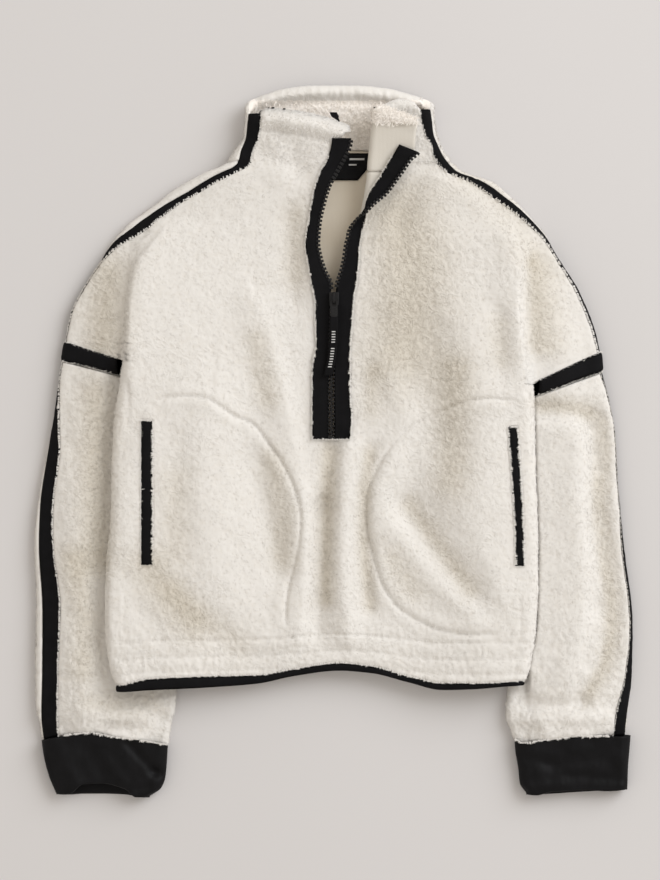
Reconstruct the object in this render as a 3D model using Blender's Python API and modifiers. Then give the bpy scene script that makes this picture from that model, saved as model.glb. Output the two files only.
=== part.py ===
"""Drop-shoulder half-zip pullover in sherpa fleece, laid flat on its back.

Frame: X to the right, Y from the hem to the collar, Z up from the surface the
garment lies on.  Origin: middle of the outline, on that surface.  Lengths in the
tables are millimetres.  "left" and "right" are the -X and +X sides.

The garment is two layers of cloth, front on back, joined at rolled side folds.
Height functions give each layer; a section coordinate runs round the folds; the
pieces are ranges of that coordinate cut apart at the seams.
"""
import math

import bmesh
import bpy
import numpy as np
from mathutils import Matrix, Vector

MM = 0.001
FLEECE = 4.0          # fleece wall
WOVEN = 1.8           # woven tapes, bands and bindings (folded double)
CUFF_WALL = 2.4       # cuff, folded double
SEAM = 0.15           # each panel stops this far from a seam line
SIDE_SEAM = 0.25      # the front and the back stop this far from the side seam
TAPE_SEAM = 1.6       # and each tape this far, being thinner than the panels beside it
FOLD_R = 12.0         # side folds: how far in from the silhouette they round over
FOLD_L = 18.0         # the same fold measured along the cloth
CHEST = 25.0          # outer face of the front over the middle of the body
OVER_SLEEVE = 15.0    # underside of the body where it lies on a sleeve
SLEEVE_TOP = 25.0     # outer face of a sleeve beside the body
SLEEVE_UNDER = 13.2   # outer face of a sleeve under the body
LAPEL_R = 2.6         # inner radius of the turned-back zip edge
EDGE_DROP = 9.0      # how much thinner the laid garment is near its folded edges
PANEL_UNDER_TAPE = 8.0
NECK_FRONT, NECK_BACK = -14.0, 13.0   # how the neck seam bows at the middle


# ---------------------------------------------------------------- tools
def ramp(t):
    t = np.clip(t, 0.0, 1.0)
    return t * t * (3.0 - 2.0 * t)


class Table:
    """Rows of a short table, read by a smooth curve that never overshoots."""

    def __init__(self, names, rows):
        data = np.array(sorted(rows), dtype=float)
        self.key = data[:, 0]
        self.cols = dict(zip(names.split()[1:], data[:, 1:].T))
        self.slope = {}
        h = np.diff(self.key)
        for name, v in self.cols.items():
            s = np.diff(v) / h
            m = np.zeros_like(v)
            m[0], m[-1] = s[0], s[-1]
            for i in range(1, len(v) - 1):
                if s[i - 1] * s[i] > 0:
                    w1, w2 = 2 * h[i] + h[i - 1], h[i] + 2 * h[i - 1]
                    m[i] = (w1 + w2) / (w1 / s[i - 1] + w2 / s[i])
            self.slope[name] = m

    def __call__(self, name, t):
        t = np.clip(np.asarray(t, dtype=float), self.key[0], self.key[-1])
        i = np.clip(np.searchsorted(self.key, t) - 1, 0, len(self.key) - 2)
        h = self.key[i + 1] - self.key[i]
        u = (t - self.key[i]) / h
        v, m = self.cols[name], self.slope[name]
        return (v[i] * (1 + 2 * u) * (1 - u) ** 2 + v[i + 1] * u * u * (3 - 2 * u)
                + m[i] * h * u * (1 - u) ** 2 - m[i + 1] * h * u * u * (1 - u))


# ---------------------------------------------------------------- outline
SIDE = Table("y left right", [
    (-292, -243, 204), (-282, -250, 213), (-272, -254, 221), (-246, -261, 228),
    (-204, -264, 233), (-155, -263, 235), (-91, -257, 234), (-43, -256, 232),
    (22, -253, 231), (51, -249, 230), (66, -246, 229), (93, -243, 228)])
UPPER_LEFT = Table("y out tape_in tape_out", [     # silhouette, and tape edges along the cloth from it
    (90, 313, 4, -11), (113, 310, 4, -11), (144, 305, 6, -9), (168, 294, 5, -9), (194, 278, 5, -8),
    (210, 268, 9, -4), (224, 259, 16, 2), (247, 239, 33, 16), (271, 208, 33, 19), (290, 183, 41, 27),
    (308, 151, 43, 26), (317, 128, 36, 22), (335, 114, 27, 14), (348, 105, 24, 9), (369, 102, 24, 8),
    (390, 99, 24, 8), (400, 93, 24, 8)])
UPPER_RIGHT = Table("y out tape_in tape_out", [
    (60, 309, 8, -7), (95, 308, 8, -7), (118, 304, 9, -6), (167, 286, 10, -5), (218, 255, 9, -4),
    (235, 245, 12, 0), (259, 225, 18, 6), (285, 199, 28, 15), (299, 180, 31, 17), (310, 147, 24, 11),
    (320, 136, 24, 11), (339, 123, 17, 8), (351, 119, 20, 10), (371, 115, 21, 8), (391, 112, 21, 8),
    (400, 104, 21, 8)])
ARM_LEFT = Table("x top low", [(-310, 113.3, 93), (-241, 92.5, 75), (-171, 73, 55)])
ARM_RIGHT = Table("x top low", [(139, 26, 17), (228, 66, 51), (306, 101, 80), (309, 102, 81)])
ARM_EDGE = Table("y left", [(93, -243), (98, -259), (103, -276), (108, -292.5), (113, -309)])
ARM_EDGE_R = Table("y right", [(66, 228), (75, 247), (84, 268), (92, 286), (101, 305)])
CREASE = Table("y left", [(60, -262), (79, -250), (93, -242), (110, -241), (148, -239), (174, -236), (206, -229),
                          (220, -217), (243, -200)])
CREASE_R = Table("y right", [(40, 250), (60, 236), (70, 226), (105, 221), (128, 217), (162, 214), (174, 215),
                             (197, 220), (225, 228), (245, 236)])
SIDE_LIFT = Table("y left right", [(-290, 11, 11), (-200, 12, 12), (60, 13, 13), (95, 13, 12), (150, 11, 10),
                                   (200, 7, 7), (235, 3, 3), (258, 0, 0)])
HEM = Table("x up low", [(-262, -281, -288), (-245, -280, -288), (-213, -273, -286), (-146, -270, -283),
                         (-89, -269, -279), (-45, -262, -270), (6, -255, -264), (44, -259, -267), (84, -270, -277),
                         (124, -278, -286), (158, -278, -285), (218, -275, -279)])
SLEEVE = {
    "left": Table("y out inn body tape_in tape_out", [
        (-360, 334, 192, 262, 24, 8), (-339, 337, 190, 262, 25, 7), (-301, 343, 182, 262, 30, 13), (-253, 344, 180, 261, 32, 15),
        (-189, 343, 177, 264, 33, 14), (-130, 345, 175, 262, 28, 12), (-74, 341, 173, 257, 23, 8),
        (-22, 332, 171, 255, 21, 3), (13, 326, 171, 253, 15, -3), (47, 321, 171, 250, 9, -7), (76, 317, 171, 246, 5, -10), (95, 313, 171, 243, 4, -11)]),
    "right": Table("y out inn body tape_in tape_out", [
        (-360, 341, 208, 225, 22, 2), (-340, 336, 206, 225, 20, 2), (-317, 338, 198, 225, 19, 0), (-269, 344, 200, 224, 14, -5),
        (-210, 345, 184, 233, 9, -9), (-182, 343, 179, 234, 9, -9), (-137, 337, 172, 235, 9, -9), (-91, 332, 165, 234, 6, -12),
        (-45, 328, 160, 232, 5, -13), (6, 325, 151, 231, 4, -13), (51, 317, 145, 230, 5, -11), (81, 309, 141, 229, 8, -8)]),
}
# rows of the front and the back: height on the left side and on the right side
BODY_ROWS = [(-272, -272), (-255, -255), (-222, -222), (-183, -183), (-143, -144), (-108, -108), (-72, -72),
             (-35, -35), (5, 5), (24, 17), (50, 38), (75, 54), (88, 62), (93, 66), (98, 75), (103, 84), (108, 92),
             (113, 101), (132, 124), (155, 152), (178, 178), (202, 202), (224, 224), (246, 246), (268, 268),
             (284, 284), (298, 298), (310, 310), (322, 322)]
SLIT_ROW = 8          # the zip slit is open above this row
WELT_ROWS = (4, 9)
ARM_ROW = 13          # first row of the drop shoulder
# columns that follow the side fold or the crease, and the two edges of the pocket welt
GUIDE = {
    "left": Table("y fold outer inner", [
        (-292, 228, 219, 207), (-272, 238, 221, 208), (-143, 242, 221, 208), (24, 233, 221, 208), (75, 228, 216, 203), (88, 226, 214, 200),
        (98, 247, 235, 212), (174, 243, 230, 206), (222, 222, 208, 184), (250, 196, 180, 156), (290, 128, 112, 97), (322, 93, 83, 70)]),
    "right": Table("y fold outer inner", [
        (-292, 196, 189, 178), (-262, 210, 203, 192), (-200, 219, 212, 202), (-144, 223, 218, 208), (17, 217, 210, 199),
        (50, 215, 207, 196), (62, 215, 206, 194), (70, 233, 221, 200), (105, 227, 215, 196), (162, 220, 208, 188), (197, 226, 213, 190),
        (225, 231, 217, 190), (250, 204, 190, 166), (290, 150, 132, 112), (322, 115, 103, 88)]),
}
# zip: outer (sewn) edge and teeth edge of each tape, and the line of the lapel's fold
ZIP_LEFT = Table("y outer teeth", [
    (2, -25, -6), (59, -25, -6), (91, -24, -6), (110, -20, -6), (131, -21, -5), (162, -22, -4), (179, -25, -3), (195, -28, -10), (210, -31, -15),
    (227, -33, -18), (252, -29, -16), (270, -26, -12), (290, -22, -6), (310, -15, 4), (324, -7, 12), (340, -3, 19), (349, -2, 20)])
ZIP_RIGHT_LOW = Table("y outer teeth", [
    (-2, 18, 0), (25, 20, 0), (55, 18, 0), (98, 18, 0), (131, 20, 1), (170, 23, 2), (179, 25, 3), (195, 27, 8), (208, 28, 11),
    (227, 29, 14), (238, 31, 17)])
# above it the tape turns over: sewn edge, middle, teeth edge, each with its height over the front
ZIP_RIGHT_TURN = Table("y ax az bx bz cx cz", [
    (238, 31, 1, 24, 1, 17, 3), (247, 34.5, 2, 27, 3, 22, 8), (254, 36.5, 4, 30, 6, 28, 12), (262, 37, 9, 33.5, 12, 37.5, 15),
    (270, 36, 11.5, 39, 13, 44, 13.5), (283, 40, 10.8, 49, 11, 59, 11), (300, 51, 10.5, 61, 10.5, 72, 10.5), (320, 63, 10.5, 75, 10.5, 86, 10.5),
    (340, 75, 10.5, 86, 10.5, 97, 10.5)])
LAPEL = Table("y line width", [(238, 23, 0), (246, 29, 2), (254, 33, 4), (262, 37, 7), (270, 38.5, 11), (283, 41, 16), (300, 43.5, 24),
                               (320, 45, 34), (335, 46.5, 47), (346, 47.5, 53), (366, 51, 51), (382, 54, 50)])
TAPE_TOP = {"left": [336, 350, 364, 375], "right": [338.5, 355, 371.5, 381]}     # rows of the collar beside the tape
COLLAR_TOP_LEFT = Table("f high", [(0, 376), (0.2, 375), (0.5, 371), (0.8, 364), (1, 357)])
COLLAR_TOP_RIGHT = Table("f high", [(0, 382), (0.15, 389), (0.5, 392), (1, 384)])
# folds of the front: ridge (+) or trough (-) along a line, with its half width
FOLDS = [  # x0, y0, x1, y1, half width, height
    (0, -6, -12, -75, 11, -5.0), (-12, -75, -20, -215, 12, -7.0), (-34, -60, -36, -220, 12, 2.5),
    (12, -40, 12, -215, 14, 2.5), (36, -70, 38, -190, 12, -4.0), (82, -78, 155, -172, 18, -6.5),
    (70, -100, 160, -205, 14, 2.5), (108, 40, 104, -60, 26, -3.0), (-93, -33, -60, -150, 17, -4.5),
    (-205, -155, -128, -232, 15, -4.0), (-185, 0, -165, -120, 20, -2.5), (-50, 245, -48, 165, 15, -4.0),
    (78, 240, 110, 120, 34, -3.5), (187, 145, 190, 85, 15, -3.0), (-60, 40, -64, 130, 14, 1.5)]
SLEEVE_FOLDS = {
    "left": [(-236, 55, -236, -60, 14, -3.0), (-250, -120, -240, -220, 16, -3.0), (-275, -345, -205, -318, 12, -3.5), (-300, -60, -300, -250, 20, 1.5)],
    "right": [(305, -10, 302, -190, 11, -5.0), (302, -190, 290, -250, 11, -4.0), (235, 38, 300, 20, 12, -5.0), (300, 20, 305, -10, 11, -5.0),
              (268, 0, 265, -240, 26, 3.0), (229, -305, 283, -303, 10, -4.0), (250, -325, 320, -322, 14, 2.5)],
}


def along(x, y, folds):
    """Height added by a list of folds: a bell across each line, faded at its ends."""
    z = np.zeros(np.broadcast(x, y).shape)
    for x0, y0, x1, y1, half, height in folds:
        length = math.hypot(x1 - x0, y1 - y0)
        ux, uy = (x1 - x0) / length, (y1 - y0) / length
        t = (x - x0) * ux + (y - y0) * uy
        d = (y - y0) * ux - (x - x0) * uy
        past = np.maximum(np.maximum(-t, t - length), 0.0)
        r = np.hypot(d, past * 0.8) / half
        z = z + height * np.exp(-r * r)
    return z


def front_height(x, y):
    """Outer face of the front layer, body and collar."""
    x, y = np.asarray(x, float), np.asarray(y, float)
    z = CHEST + 6.0 * ramp((y - 250) / 80) + 7.0 * ramp((y - 322) / 60)
    left = SIDE_LIFT("left", y) * ramp((x - CREASE("left", y) + 5) / 10) * (1 - ramp((x + 195) / 120))
    right = SIDE_LIFT("right", y) * ramp((CREASE_R("right", y) + 5 - x) / 10) * (1 - ramp((195 - x) / 120))
    fade = ramp((y + 262) / 40)
    yy = np.maximum(y, 60.0)
    inset = np.where(x < 0, UPPER_LEFT("out", yy), UPPER_RIGHT("out", yy)) - np.abs(x)
    thin = EDGE_DROP * (1 - ramp((inset - 8) / 50)) * (1 - 0.45 * ramp((y - 285) / 40))
    return z + left + right + along(x, y, FOLDS) * fade - thin


def back_height(x, y):
    """Outer face of the back layer: on the surface, but over the sleeves at the sides."""
    x, y = np.asarray(x, float), np.asarray(y, float)
    low = ramp((x + 264) / 20) * (1 - ramp((x + SLEEVE["left"]("inn", y) - 3) / 26)) * \
        (1 - ramp((y - ARM_LEFT("top", x) - 2) / 34))
    high = ramp((258 - x) / 20) * (1 - ramp((SLEEVE["right"]("inn", y) - 3 - x) / 26)) * \
        (1 - ramp((y - ARM_RIGHT("top", x) - 2) / 34))
    below = np.where(y < ARM_LEFT("low", x), 1.0, low > 0)
    z = OVER_SLEEVE * np.where(x < 0, np.maximum(low, 0) * below, high)
    z = np.where((x < -244) & (y < 90), OVER_SLEEVE, z)
    z = np.where((x > 238) & (y < 64), OVER_SLEEVE, z)
    return z + 12.0 * ramp((y - 332) / 78) * (np.abs(x) < 400)


def fold(s):
    """Section coordinate s (along the cloth from the silhouette, + on top) to inset and lift."""
    a = np.clip(np.abs(s) / FOLD_L, 0, 1) * math.pi / 2
    return FOLD_R * (1 - np.cos(a)) + np.maximum(np.abs(s) - FOLD_L, 0), np.sin(a)


def unfold(inset):
    """Section coordinate of a point on top that lies this far in from the silhouette."""
    inset = np.asarray(inset, float)
    near = np.arccos(np.clip(1 - inset / FOLD_R, -1, 1)) / (math.pi / 2) * FOLD_L
    return np.where(inset < FOLD_R, near, inset - FOLD_R + FOLD_L)


def body_out(side, y, upper):
    """Distance of the silhouette from the middle line."""
    if not upper:
        return abs(SIDE(side, y))
    return (UPPER_LEFT if side == "left" else UPPER_RIGHT)("out", y)


def facing(make, a, b, turn):
    """The point make(a, b), with the cloth's outward normal there."""
    d = 0.3
    n = np.cross(np.subtract(make(a + d, b), make(a - d, b)), np.subtract(make(a, b + d), make(a, b - d))) * turn
    return tuple(make(a, b)) + tuple(n / np.linalg.norm(n))


def front_point(x, y):
    return facing(lambda a, b: (float(a), float(b), float(front_height(a, b))), x, y, 1)


def back_point(x, y):
    return facing(lambda a, b: (float(a), float(b), float(back_height(a, b))), x, y, -1)


def shifted(p, y):
    return (p[0], p[1] + y) + tuple(p[2:])


def between(p, q, f=0.5):
    return tuple(a + (b - a) * f for a, b in zip(p, q))


def body_point(side, y, s, upper):
    """Point of the body on one side, at section coordinate s, with its normal."""
    seam = 0.0 if abs(s) < 0.5 else s          # both edges of the side seam face the same way
    p = facing(lambda a, b: body_place(side, b, a, upper), seam, y, 1 if side == "left" else -1)
    return tuple(body_place(side, y, s, upper)) + p[3:]


def body_near(side, x, y, upper, top=1):
    """The same at a distance from the middle line, on the front or the back."""
    return body_point(side, y, top * float(unfold(body_out(side, y, upper) - abs(x))), upper)


def body_place(side, y, s, upper):
    sign = -1 if side == "left" else 1
    inset, lift = fold(s)
    out = body_out(side, y, upper)
    x = sign * (out - inset)
    edge = sign * (out - FOLD_R)
    top, low = front_height(edge, y), back_height(edge, y)
    mid = (top + low) / 2
    face = np.where(s >= 0, front_height(x, y), back_height(x, y))
    return float(x), float(y), float(mid + (face - mid) * lift)


def sleeve_height(side, x, y):
    sign = -1 if side == "left" else 1
    t = SLEEVE[side]
    u = np.abs(x)
    under = ramp((t("body", y) + 27 - u) / 25) * ramp((y + 312) / 27)
    z = SLEEVE_TOP + along(x, y, SLEEVE_FOLDS[side]) - 3.0 * ramp((-310 - y) / 30)
    z = z - EDGE_DROP * (1 - ramp((t("out", y) - u - 8) / 50))
    z = z - 8.0 * (1 - ramp((u - t("inn", y) - 8) / 34)) * ramp((-y - 262) / 30)
    return z + (SLEEVE_UNDER - z) * under


def sleeve_point(side, y, s, inner=None):
    """Point of a sleeve at section coordinate s; inner: measured from the inner edge instead."""
    turn = 1 if side == "left" else -1
    if inner is None:
        return facing(lambda a, b: sleeve_place(side, b, a, None), s, y, turn)
    return facing(lambda a, b: sleeve_place(side, b, 0, a), inner, y, -turn)


def sleeve_top(side, x, y):
    return facing(lambda a, b: (float(a), float(b), float(sleeve_height(side, a, b))), x, y, 1)


def sleeve_place(side, y, s, inner):
    sign = -1 if side == "left" else 1
    t = SLEEVE[side]
    if inner is None:
        inset, lift = fold(s)
        u = t("out", y) - inset
        edge = sign * (t("out", y) - FOLD_R)
        top = s >= 0
    else:
        inset, lift = fold(inner * 1.5)
        inset = inset / 1.5
        u = t("inn", y) + inset
        edge = sign * (t("inn", y) + FOLD_R / 1.5)
        top = inner >= 0
    mid = sleeve_height(side, edge, y) / 2
    face = sleeve_height(side, sign * u, y) if top else 0.0
    return float(sign * u), float(y), float(mid + (face - mid) * lift)


# ---------------------------------------------------------------- building
for old in list(bpy.data.objects):
    bpy.data.objects.remove(old, do_unlink=True)
GARMENT = bpy.data.collections.new("sherpa_pullover")
CUTTERS = bpy.data.collections.new("cutters")
bpy.context.scene.collection.children.link(GARMENT)
bpy.context.scene.collection.children.link(CUTTERS)


def material(name, color, rough, metal=0.0):
    m = bpy.data.materials.new(name)
    m.use_nodes = True
    b = m.node_tree.nodes["Principled BSDF"]
    b.inputs["Base Color"].default_value = (*color, 1)
    b.inputs["Roughness"].default_value = rough
    b.inputs["Metallic"].default_value = metal
    m.diffuse_color = (*color, 1)
    return m


CREAM, BLACK = (0.80, 0.76, 0.69), (0.012, 0.012, 0.014)
KINDS = {"fleece": (CREAM, 0.95), "backing": ((0.72, 0.67, 0.60), 0.9), "woven": (BLACK, 0.75),
         "cuff": ((0.016, 0.016, 0.019), 0.55), "moulded": ((0.02, 0.02, 0.02), 0.4), "label": (BLACK, 0.6)}


def finish(name, mesh, kind):
    ob = bpy.data.objects.new(name, mesh)
    GARMENT.objects.link(ob)
    color, rough = KINDS[kind]
    mesh.materials.append(material(name, color, rough))
    return ob


def thicken(bm, wall, normals):
    """Makes a wall of an open surface: a second skin behind it, and a rim round every border."""
    bm.normal_update()
    border = [e for e in bm.edges if e.is_boundary]
    inner = {}
    for v in list(bm.verts):
        n = Vector(normals[v]) if v in normals else v.normal
        inner[v] = bm.verts.new(v.co - n * wall * MM)
    for f in list(bm.faces):
        bm.faces.new([inner[v] for v in reversed(f.verts)])
    for e in border:
        loop = e.link_loops[0]
        a, b = loop.vert, loop.link_loop_next.vert
        # both sides of a seam split their rims along the same diagonal, so that they stay apart
        if a.co.x + a.co.y + a.co.z < b.co.x + b.co.y + b.co.z:
            bm.faces.new([b, a, inner[b]])
            bm.faces.new([a, inner[a], inner[b]])
        else:
            bm.faces.new([b, a, inner[a]])
            bm.faces.new([b, inner[a], inner[b]])


def sheet(name, rows, wall, kind, flip=False, ring=False, skip=(), flap=None):
    """Wall of cloth through rows of points (x, y, z and, where given, the normal).

    flap: for some rows, points that carry the row on past the column named in it."""
    bm = bmesh.new()
    normals = {}

    def place(p):
        v = bm.verts.new([c * MM for c in p[:3]])
        if len(p) > 3:
            normals[v] = Vector(p[3:]).normalized()
        return v

    def face(*q):
        q = list(dict.fromkeys(q))
        bm.faces.new(q[::-1] if flip else q)

    grid = [[place(p) for p in row] for row in rows]
    n = len(rows[0])
    for i in range(len(rows) - 1):
        for j in range(n if ring else n - 1):
            if (i, j) not in skip:
                k = (j + 1) % n
                face(grid[i][j], grid[i][k], grid[i + 1][k], grid[i + 1][j])
    if flap:
        column, points = flap
        tail = {i: [grid[i][column]] + [place(p) for p in row] for i, row in points.items()}
        for i in sorted(tail):
            for j in range(len(tail[i]) - 1):
                if i + 1 in tail:
                    face(tail[i][j + 1], tail[i][j], tail[i + 1][j], tail[i + 1][j + 1])
                if i - 1 not in tail and i:
                    face(grid[i - 1][column], tail[i][j], tail[i][j + 1])
    for v in [v for v in bm.verts if not v.link_faces]:
        bm.verts.remove(v)
    if kind == "backing":
        # the bags are thin and uneven, so both their skins are split along the same diagonals
        bmesh.ops.triangulate(bm, faces=bm.faces[:])
    thicken(bm, wall, normals)
    mesh = bpy.data.meshes.new(name)
    bm.to_mesh(mesh)
    bm.free()
    mesh.shade_smooth()
    return finish(name, mesh, kind)


def blend_y(pair, x):
    return pair[0] + (pair[1] - pair[0]) * ramp((x + 230) / 460)


def row_y(pair, x, neck):
    """Height of a body row at x: the hem rows follow the hem, the neck rows the neck seam."""
    y = blend_y(pair, x)
    y = y + (HEM("up", x) + 272) * (1 - ramp((pair[0] + 272) / 80))
    return y + neck * (1 - ramp((abs(x - 3) - 30) / 70)) * ramp((pair[0] - 268) / 54)


def slit(side, y):
    """Where the front stops beside the zip, and the tape edge on it."""
    if side == "left":
        outer = float(ZIP_LEFT("outer", y))
    elif y <= 238:
        outer = float(ZIP_RIGHT_LOW("outer", y))
    else:
        line = float(LAPEL("line", y))
        return line + 12, line
    return outer, outer + PANEL_UNDER_TAPE * (1 if side == "left" else -1)


def front_half(side, i):
    """Columns of one row of the front, from the side to the zip."""
    sign = -1 if side == "left" else 1
    upper = i >= ARM_ROW
    pair = BODY_ROWS[i]
    y = float(row_y(pair, sign * 240, 0))
    out = body_out(side, y, upper)
    tape = UPPER_LEFT if side == "left" else UPPER_RIGHT
    if i > 17:
        start = float(tape("tape_in", y)) + SEAM
    elif upper:
        border = ARM_EDGE("left", y) if side == "left" else ARM_EDGE_R("right", y)
        start = max(float(unfold(out - abs(border))), float(tape("tape_in", y)) + SEAM)
    else:
        start = SIDE_SEAM
    g = GUIDE[side]
    last = max(float(unfold(out - g("fold", y))), start + 6)
    cols = [body_point(side, y, start, upper)]
    for f in (0.36, 0.7, 1):
        x = body_place(side, y, start + (last - start) * f, upper)[0]
        cols.append(body_near(side, x, float(row_y(pair, x, 0)), upper))
    xs = [sign * g("outer", y), sign * g("inner", y)]
    edge, end = slit(side, float(row_y(pair, sign * 20, NECK_FRONT))) if i >= SLIT_ROW else \
        ((-40, -17) if side == "left" else (36, 12))
    xs += [xs[1] + (edge - xs[1]) * f for f in (0.22, 0.46, 0.73)] + [edge, end]
    return cols + [front_point(x, float(row_y(pair, x, NECK_FRONT))) for x in xs]


def lapel_points(y, skew, steps=(0.35, 0.7, 1.0)):
    """Turned-back edge: round the fold, then out over the front."""
    line, width = float(LAPEL("line", y)), float(LAPEL("width", y))
    turn = math.pi * LAPEL_R
    stops = [width * k / 3 for k in (1, 2, 3)] + [width] * 3 if width < turn else \
        [turn * k / 3 for k in (1, 2, 3)] + [turn + (width - turn) * f for f in steps]
    z0 = float(front_height(line, y))
    pts = []
    for s in stops:
        a = min(s / LAPEL_R, math.pi)
        x = line - LAPEL_R * math.sin(a) + max(0.0, s - turn)
        z = max(z0, float(front_height(x, y))) if s > turn else z0
        pts.append((x, y - skew * max(0.0, x - line), z + LAPEL_R * (1 - math.cos(a)), -math.sin(a), 0.0, math.cos(a)))
    return pts


# ---- front
HALF = len(front_half("left", 0))
PANEL_ROWS = [front_half("left", i) + front_half("right", i)[::-1] for i in range(len(BODY_ROWS))]
LAPEL_ROWS = {i: lapel_points(row[HALF][1], 0) for i, row in enumerate(PANEL_ROWS) if row[HALF][1] >= 238}
skip = {(i, HALF - 1) for i in range(SLIT_ROW, len(BODY_ROWS))}
skip |= {(i, c) for i in range(*WELT_ROWS) for c in (4, 2 * HALF - 6)}
sheet("front", PANEL_ROWS, FLEECE, "fleece", skip=skip, flap=(HALF, LAPEL_ROWS))


# ---- back
def back_half(side, i):
    sign = -1 if side == "left" else 1
    upper = i >= ARM_ROW
    pair = BODY_ROWS[i]
    y = float(row_y(pair, sign * 240, 0))
    out = body_out(side, y, upper)
    tape = UPPER_LEFT if side == "left" else UPPER_RIGHT
    far = -(FOLD_L + 5)
    if i > 17:
        start = float(tape("tape_out", y)) - SEAM
    elif upper:
        border = abs(float(ARM_EDGE("left", y) if side == "left" else ARM_EDGE_R("right", y)))
        start = min(float(-unfold(out - border)), float(tape("tape_out", y)) - SEAM)
    else:
        start = -SIDE_SEAM
    far = min(start - 8, far)
    cols = [body_point(side, y, start, upper)]
    for f in (0.33, 0.67, 1):
        x = body_place(side, y, start + (far - start) * f, upper)[0]
        cols.append(body_near(side, x, float(row_y(pair, x, 0)), upper, -1))
    x0 = cols[-1][0]
    xs = [x0 * 0.86, x0 * 0.6]
    if not upper:
        inn = sign * float(SLEEVE[side]("inn", y))
        xs = [inn, inn - sign * 26]
    return cols + [back_point(x, float(row_y(pair, x, NECK_BACK))) for x in xs]


BACK_ROWS = []
for i in range(len(BODY_ROWS)):
    left, right = back_half("left", i), back_half("right", i)
    BACK_ROWS.append(left + [back_point(0.0, float(row_y(BODY_ROWS[i], 0, NECK_BACK)))] + right[::-1])
sheet("back", BACK_ROWS, FLEECE, "fleece", flip=True)


# ---- hem binding: carries on from the hem rows of the front and the back
def binding(name, row, drop, wall, flip):
    def at(x, f):
        f = f * ramp((262 - abs(x)) / 14 + 0.25) if x < 0 else f
        return float(HEM("up", x) + (HEM("low", x) - HEM("up", x)) * f) + drop

    high = [shifted(p, -0.55) for p in row]
    low = [shifted(p, min(at(p[0], 1.0), p[1] - 5.4) - p[1]) for p in row]
    mid = [between(a, b) for a, b in zip(low, high)]
    return sheet(name, [low, mid, high], wall, "woven", flip=flip)


binding("hem_binding_front", PANEL_ROWS[0], 0.0, WOVEN + 0.6, False)
binding("hem_binding_back", BACK_ROWS[0], 2.0, WOVEN + 0.6, True)

# ---- pocket welts fill the slots in the front; the bags hang behind it
for side, c in (("left", 4), ("right", 2 * HALF - 6)):
    strip = []
    for i in range(WELT_ROWS[0], WELT_ROWS[1] + 1):
        a, b = PANEL_ROWS[i][c], PANEL_ROWS[i][c + 1]
        lo, hi = (0.9, 0.9)
        y_in = 0.9 if i == WELT_ROWS[0] else (-0.9 if i == WELT_ROWS[1] else 0.0)
        strip.append([(a[0] + lo, a[1] + y_in, a[2] - 0.3), ((a[0] + b[0]) / 2, (a[1] + b[1]) / 2 + y_in, (a[2] + b[2]) / 2 - 0.3),
                      (b[0] - hi, b[1] + y_in, b[2] - 0.3)])
    sheet("welt_" + side, strip, 2.6, "woven")

BAG = {
    "left": Table("y reach", [(-217, 55), (-193, 55), (-169, 53), (-140, 45), (-107, 39), (-72, 39), (-44, 51), (-5, 75), (20, 93), (26, 113), (48, 152)]),
    "right": Table("y reach", [(-219, 108), (-208, 95), (-189, 71), (-160, 52), (-121, 41), (-72, 37), (-39, 47), (-5, 66), (20, 98), (41, 139), (47, 165)]),
}
for side in ("left", "right"):
    sign = -1 if side == "left" else 1
    strip = []
    for y in (-216, -183, -143, -108, -72, -35, 5, 26, 44):
        outer = float(GUIDE[side]("outer", y)) + 3
        reach = float(BAG[side]("reach", y))
        row = []
        for f in (0, 0.2, 0.4, 0.6, 0.8, 1.0):
            x = sign * (outer + (reach - outer) * f)
            row.append((x, y, float(front_height(x, y)) - FLEECE - 5.0))
        strip.append(row)
    sheet("pocket_bag_" + side, strip, 0.9, "backing", flip=(sign > 0))


# ---- tapes over the shoulders, and on up the collar
def shoulder_tape(side):
    t = UPPER_LEFT if side == "left" else UPPER_RIGHT
    levels = [(p[0] if side == "left" else p[1]) for p in BODY_ROWS[17:]] + TAPE_TOP[side]
    strip = []
    for k, y in enumerate(levels):
        a, b = float(t("tape_out", y)) + TAPE_SEAM, float(t("tape_in", y)) - TAPE_SEAM
        y2 = y + (0.8 if k == 0 else 0.0)
        strip.append([body_point(side, y2, a + (b - a) * f, True) for f in (0, 0.5, 1)])
    sheet("shoulder_tape_" + side, strip, WOVEN, "woven", flip=(side == "right"))


# ---- sleeves
SLEEVE_ROWS = {
    "left": [(93, 75, 55), (68, 56, 38), (32, 25, 14), (-15, -16, -22), (-70, -70, -70), (-130, -130, -130),
             (-190, -190, -190), (-245, -245, -245), (-286, -286, -286), (-315, -315, -320), (-339, -338, -351)],
    "right": [(80, 51, 17), (56, 35, 2), (20, 6, -18), (-25, -30, -45), (-75, -76, -80), (-130, -130, -130),
              (-185, -185, -185), (-238, -238, -238), (-284, -284, -284), (-314, -314, -317), (-336, -338, -344)],
}
CUFF_LINE = {
    "left": Table("x y", [(-345, -346), (-337, -345), (-326, -342), (-309, -339.5), (-279, -336.5), (-256, -341), (-221, -345), (-185, -352)]),
    "right": Table("x y", [(195, -343), (208, -344.5), (216, -348), (247, -344), (278, -340.5), (320, -340), (346, -339)]),
}


def sleeve_y(side, row, x):
    sign = -1 if side == "left" else 1
    body = 245 if side == "left" else 230
    inn = 171 if side == "left" else 141
    out = 312 if side == "left" else 308
    u = abs(x)
    if u > body:
        return row[1] + (row[0] - row[1]) * min(1.0, (u - body) / (out - body))
    return row[2] + (row[1] - row[2]) * max(0.0, (u - inn) / (body - inn))


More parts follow.
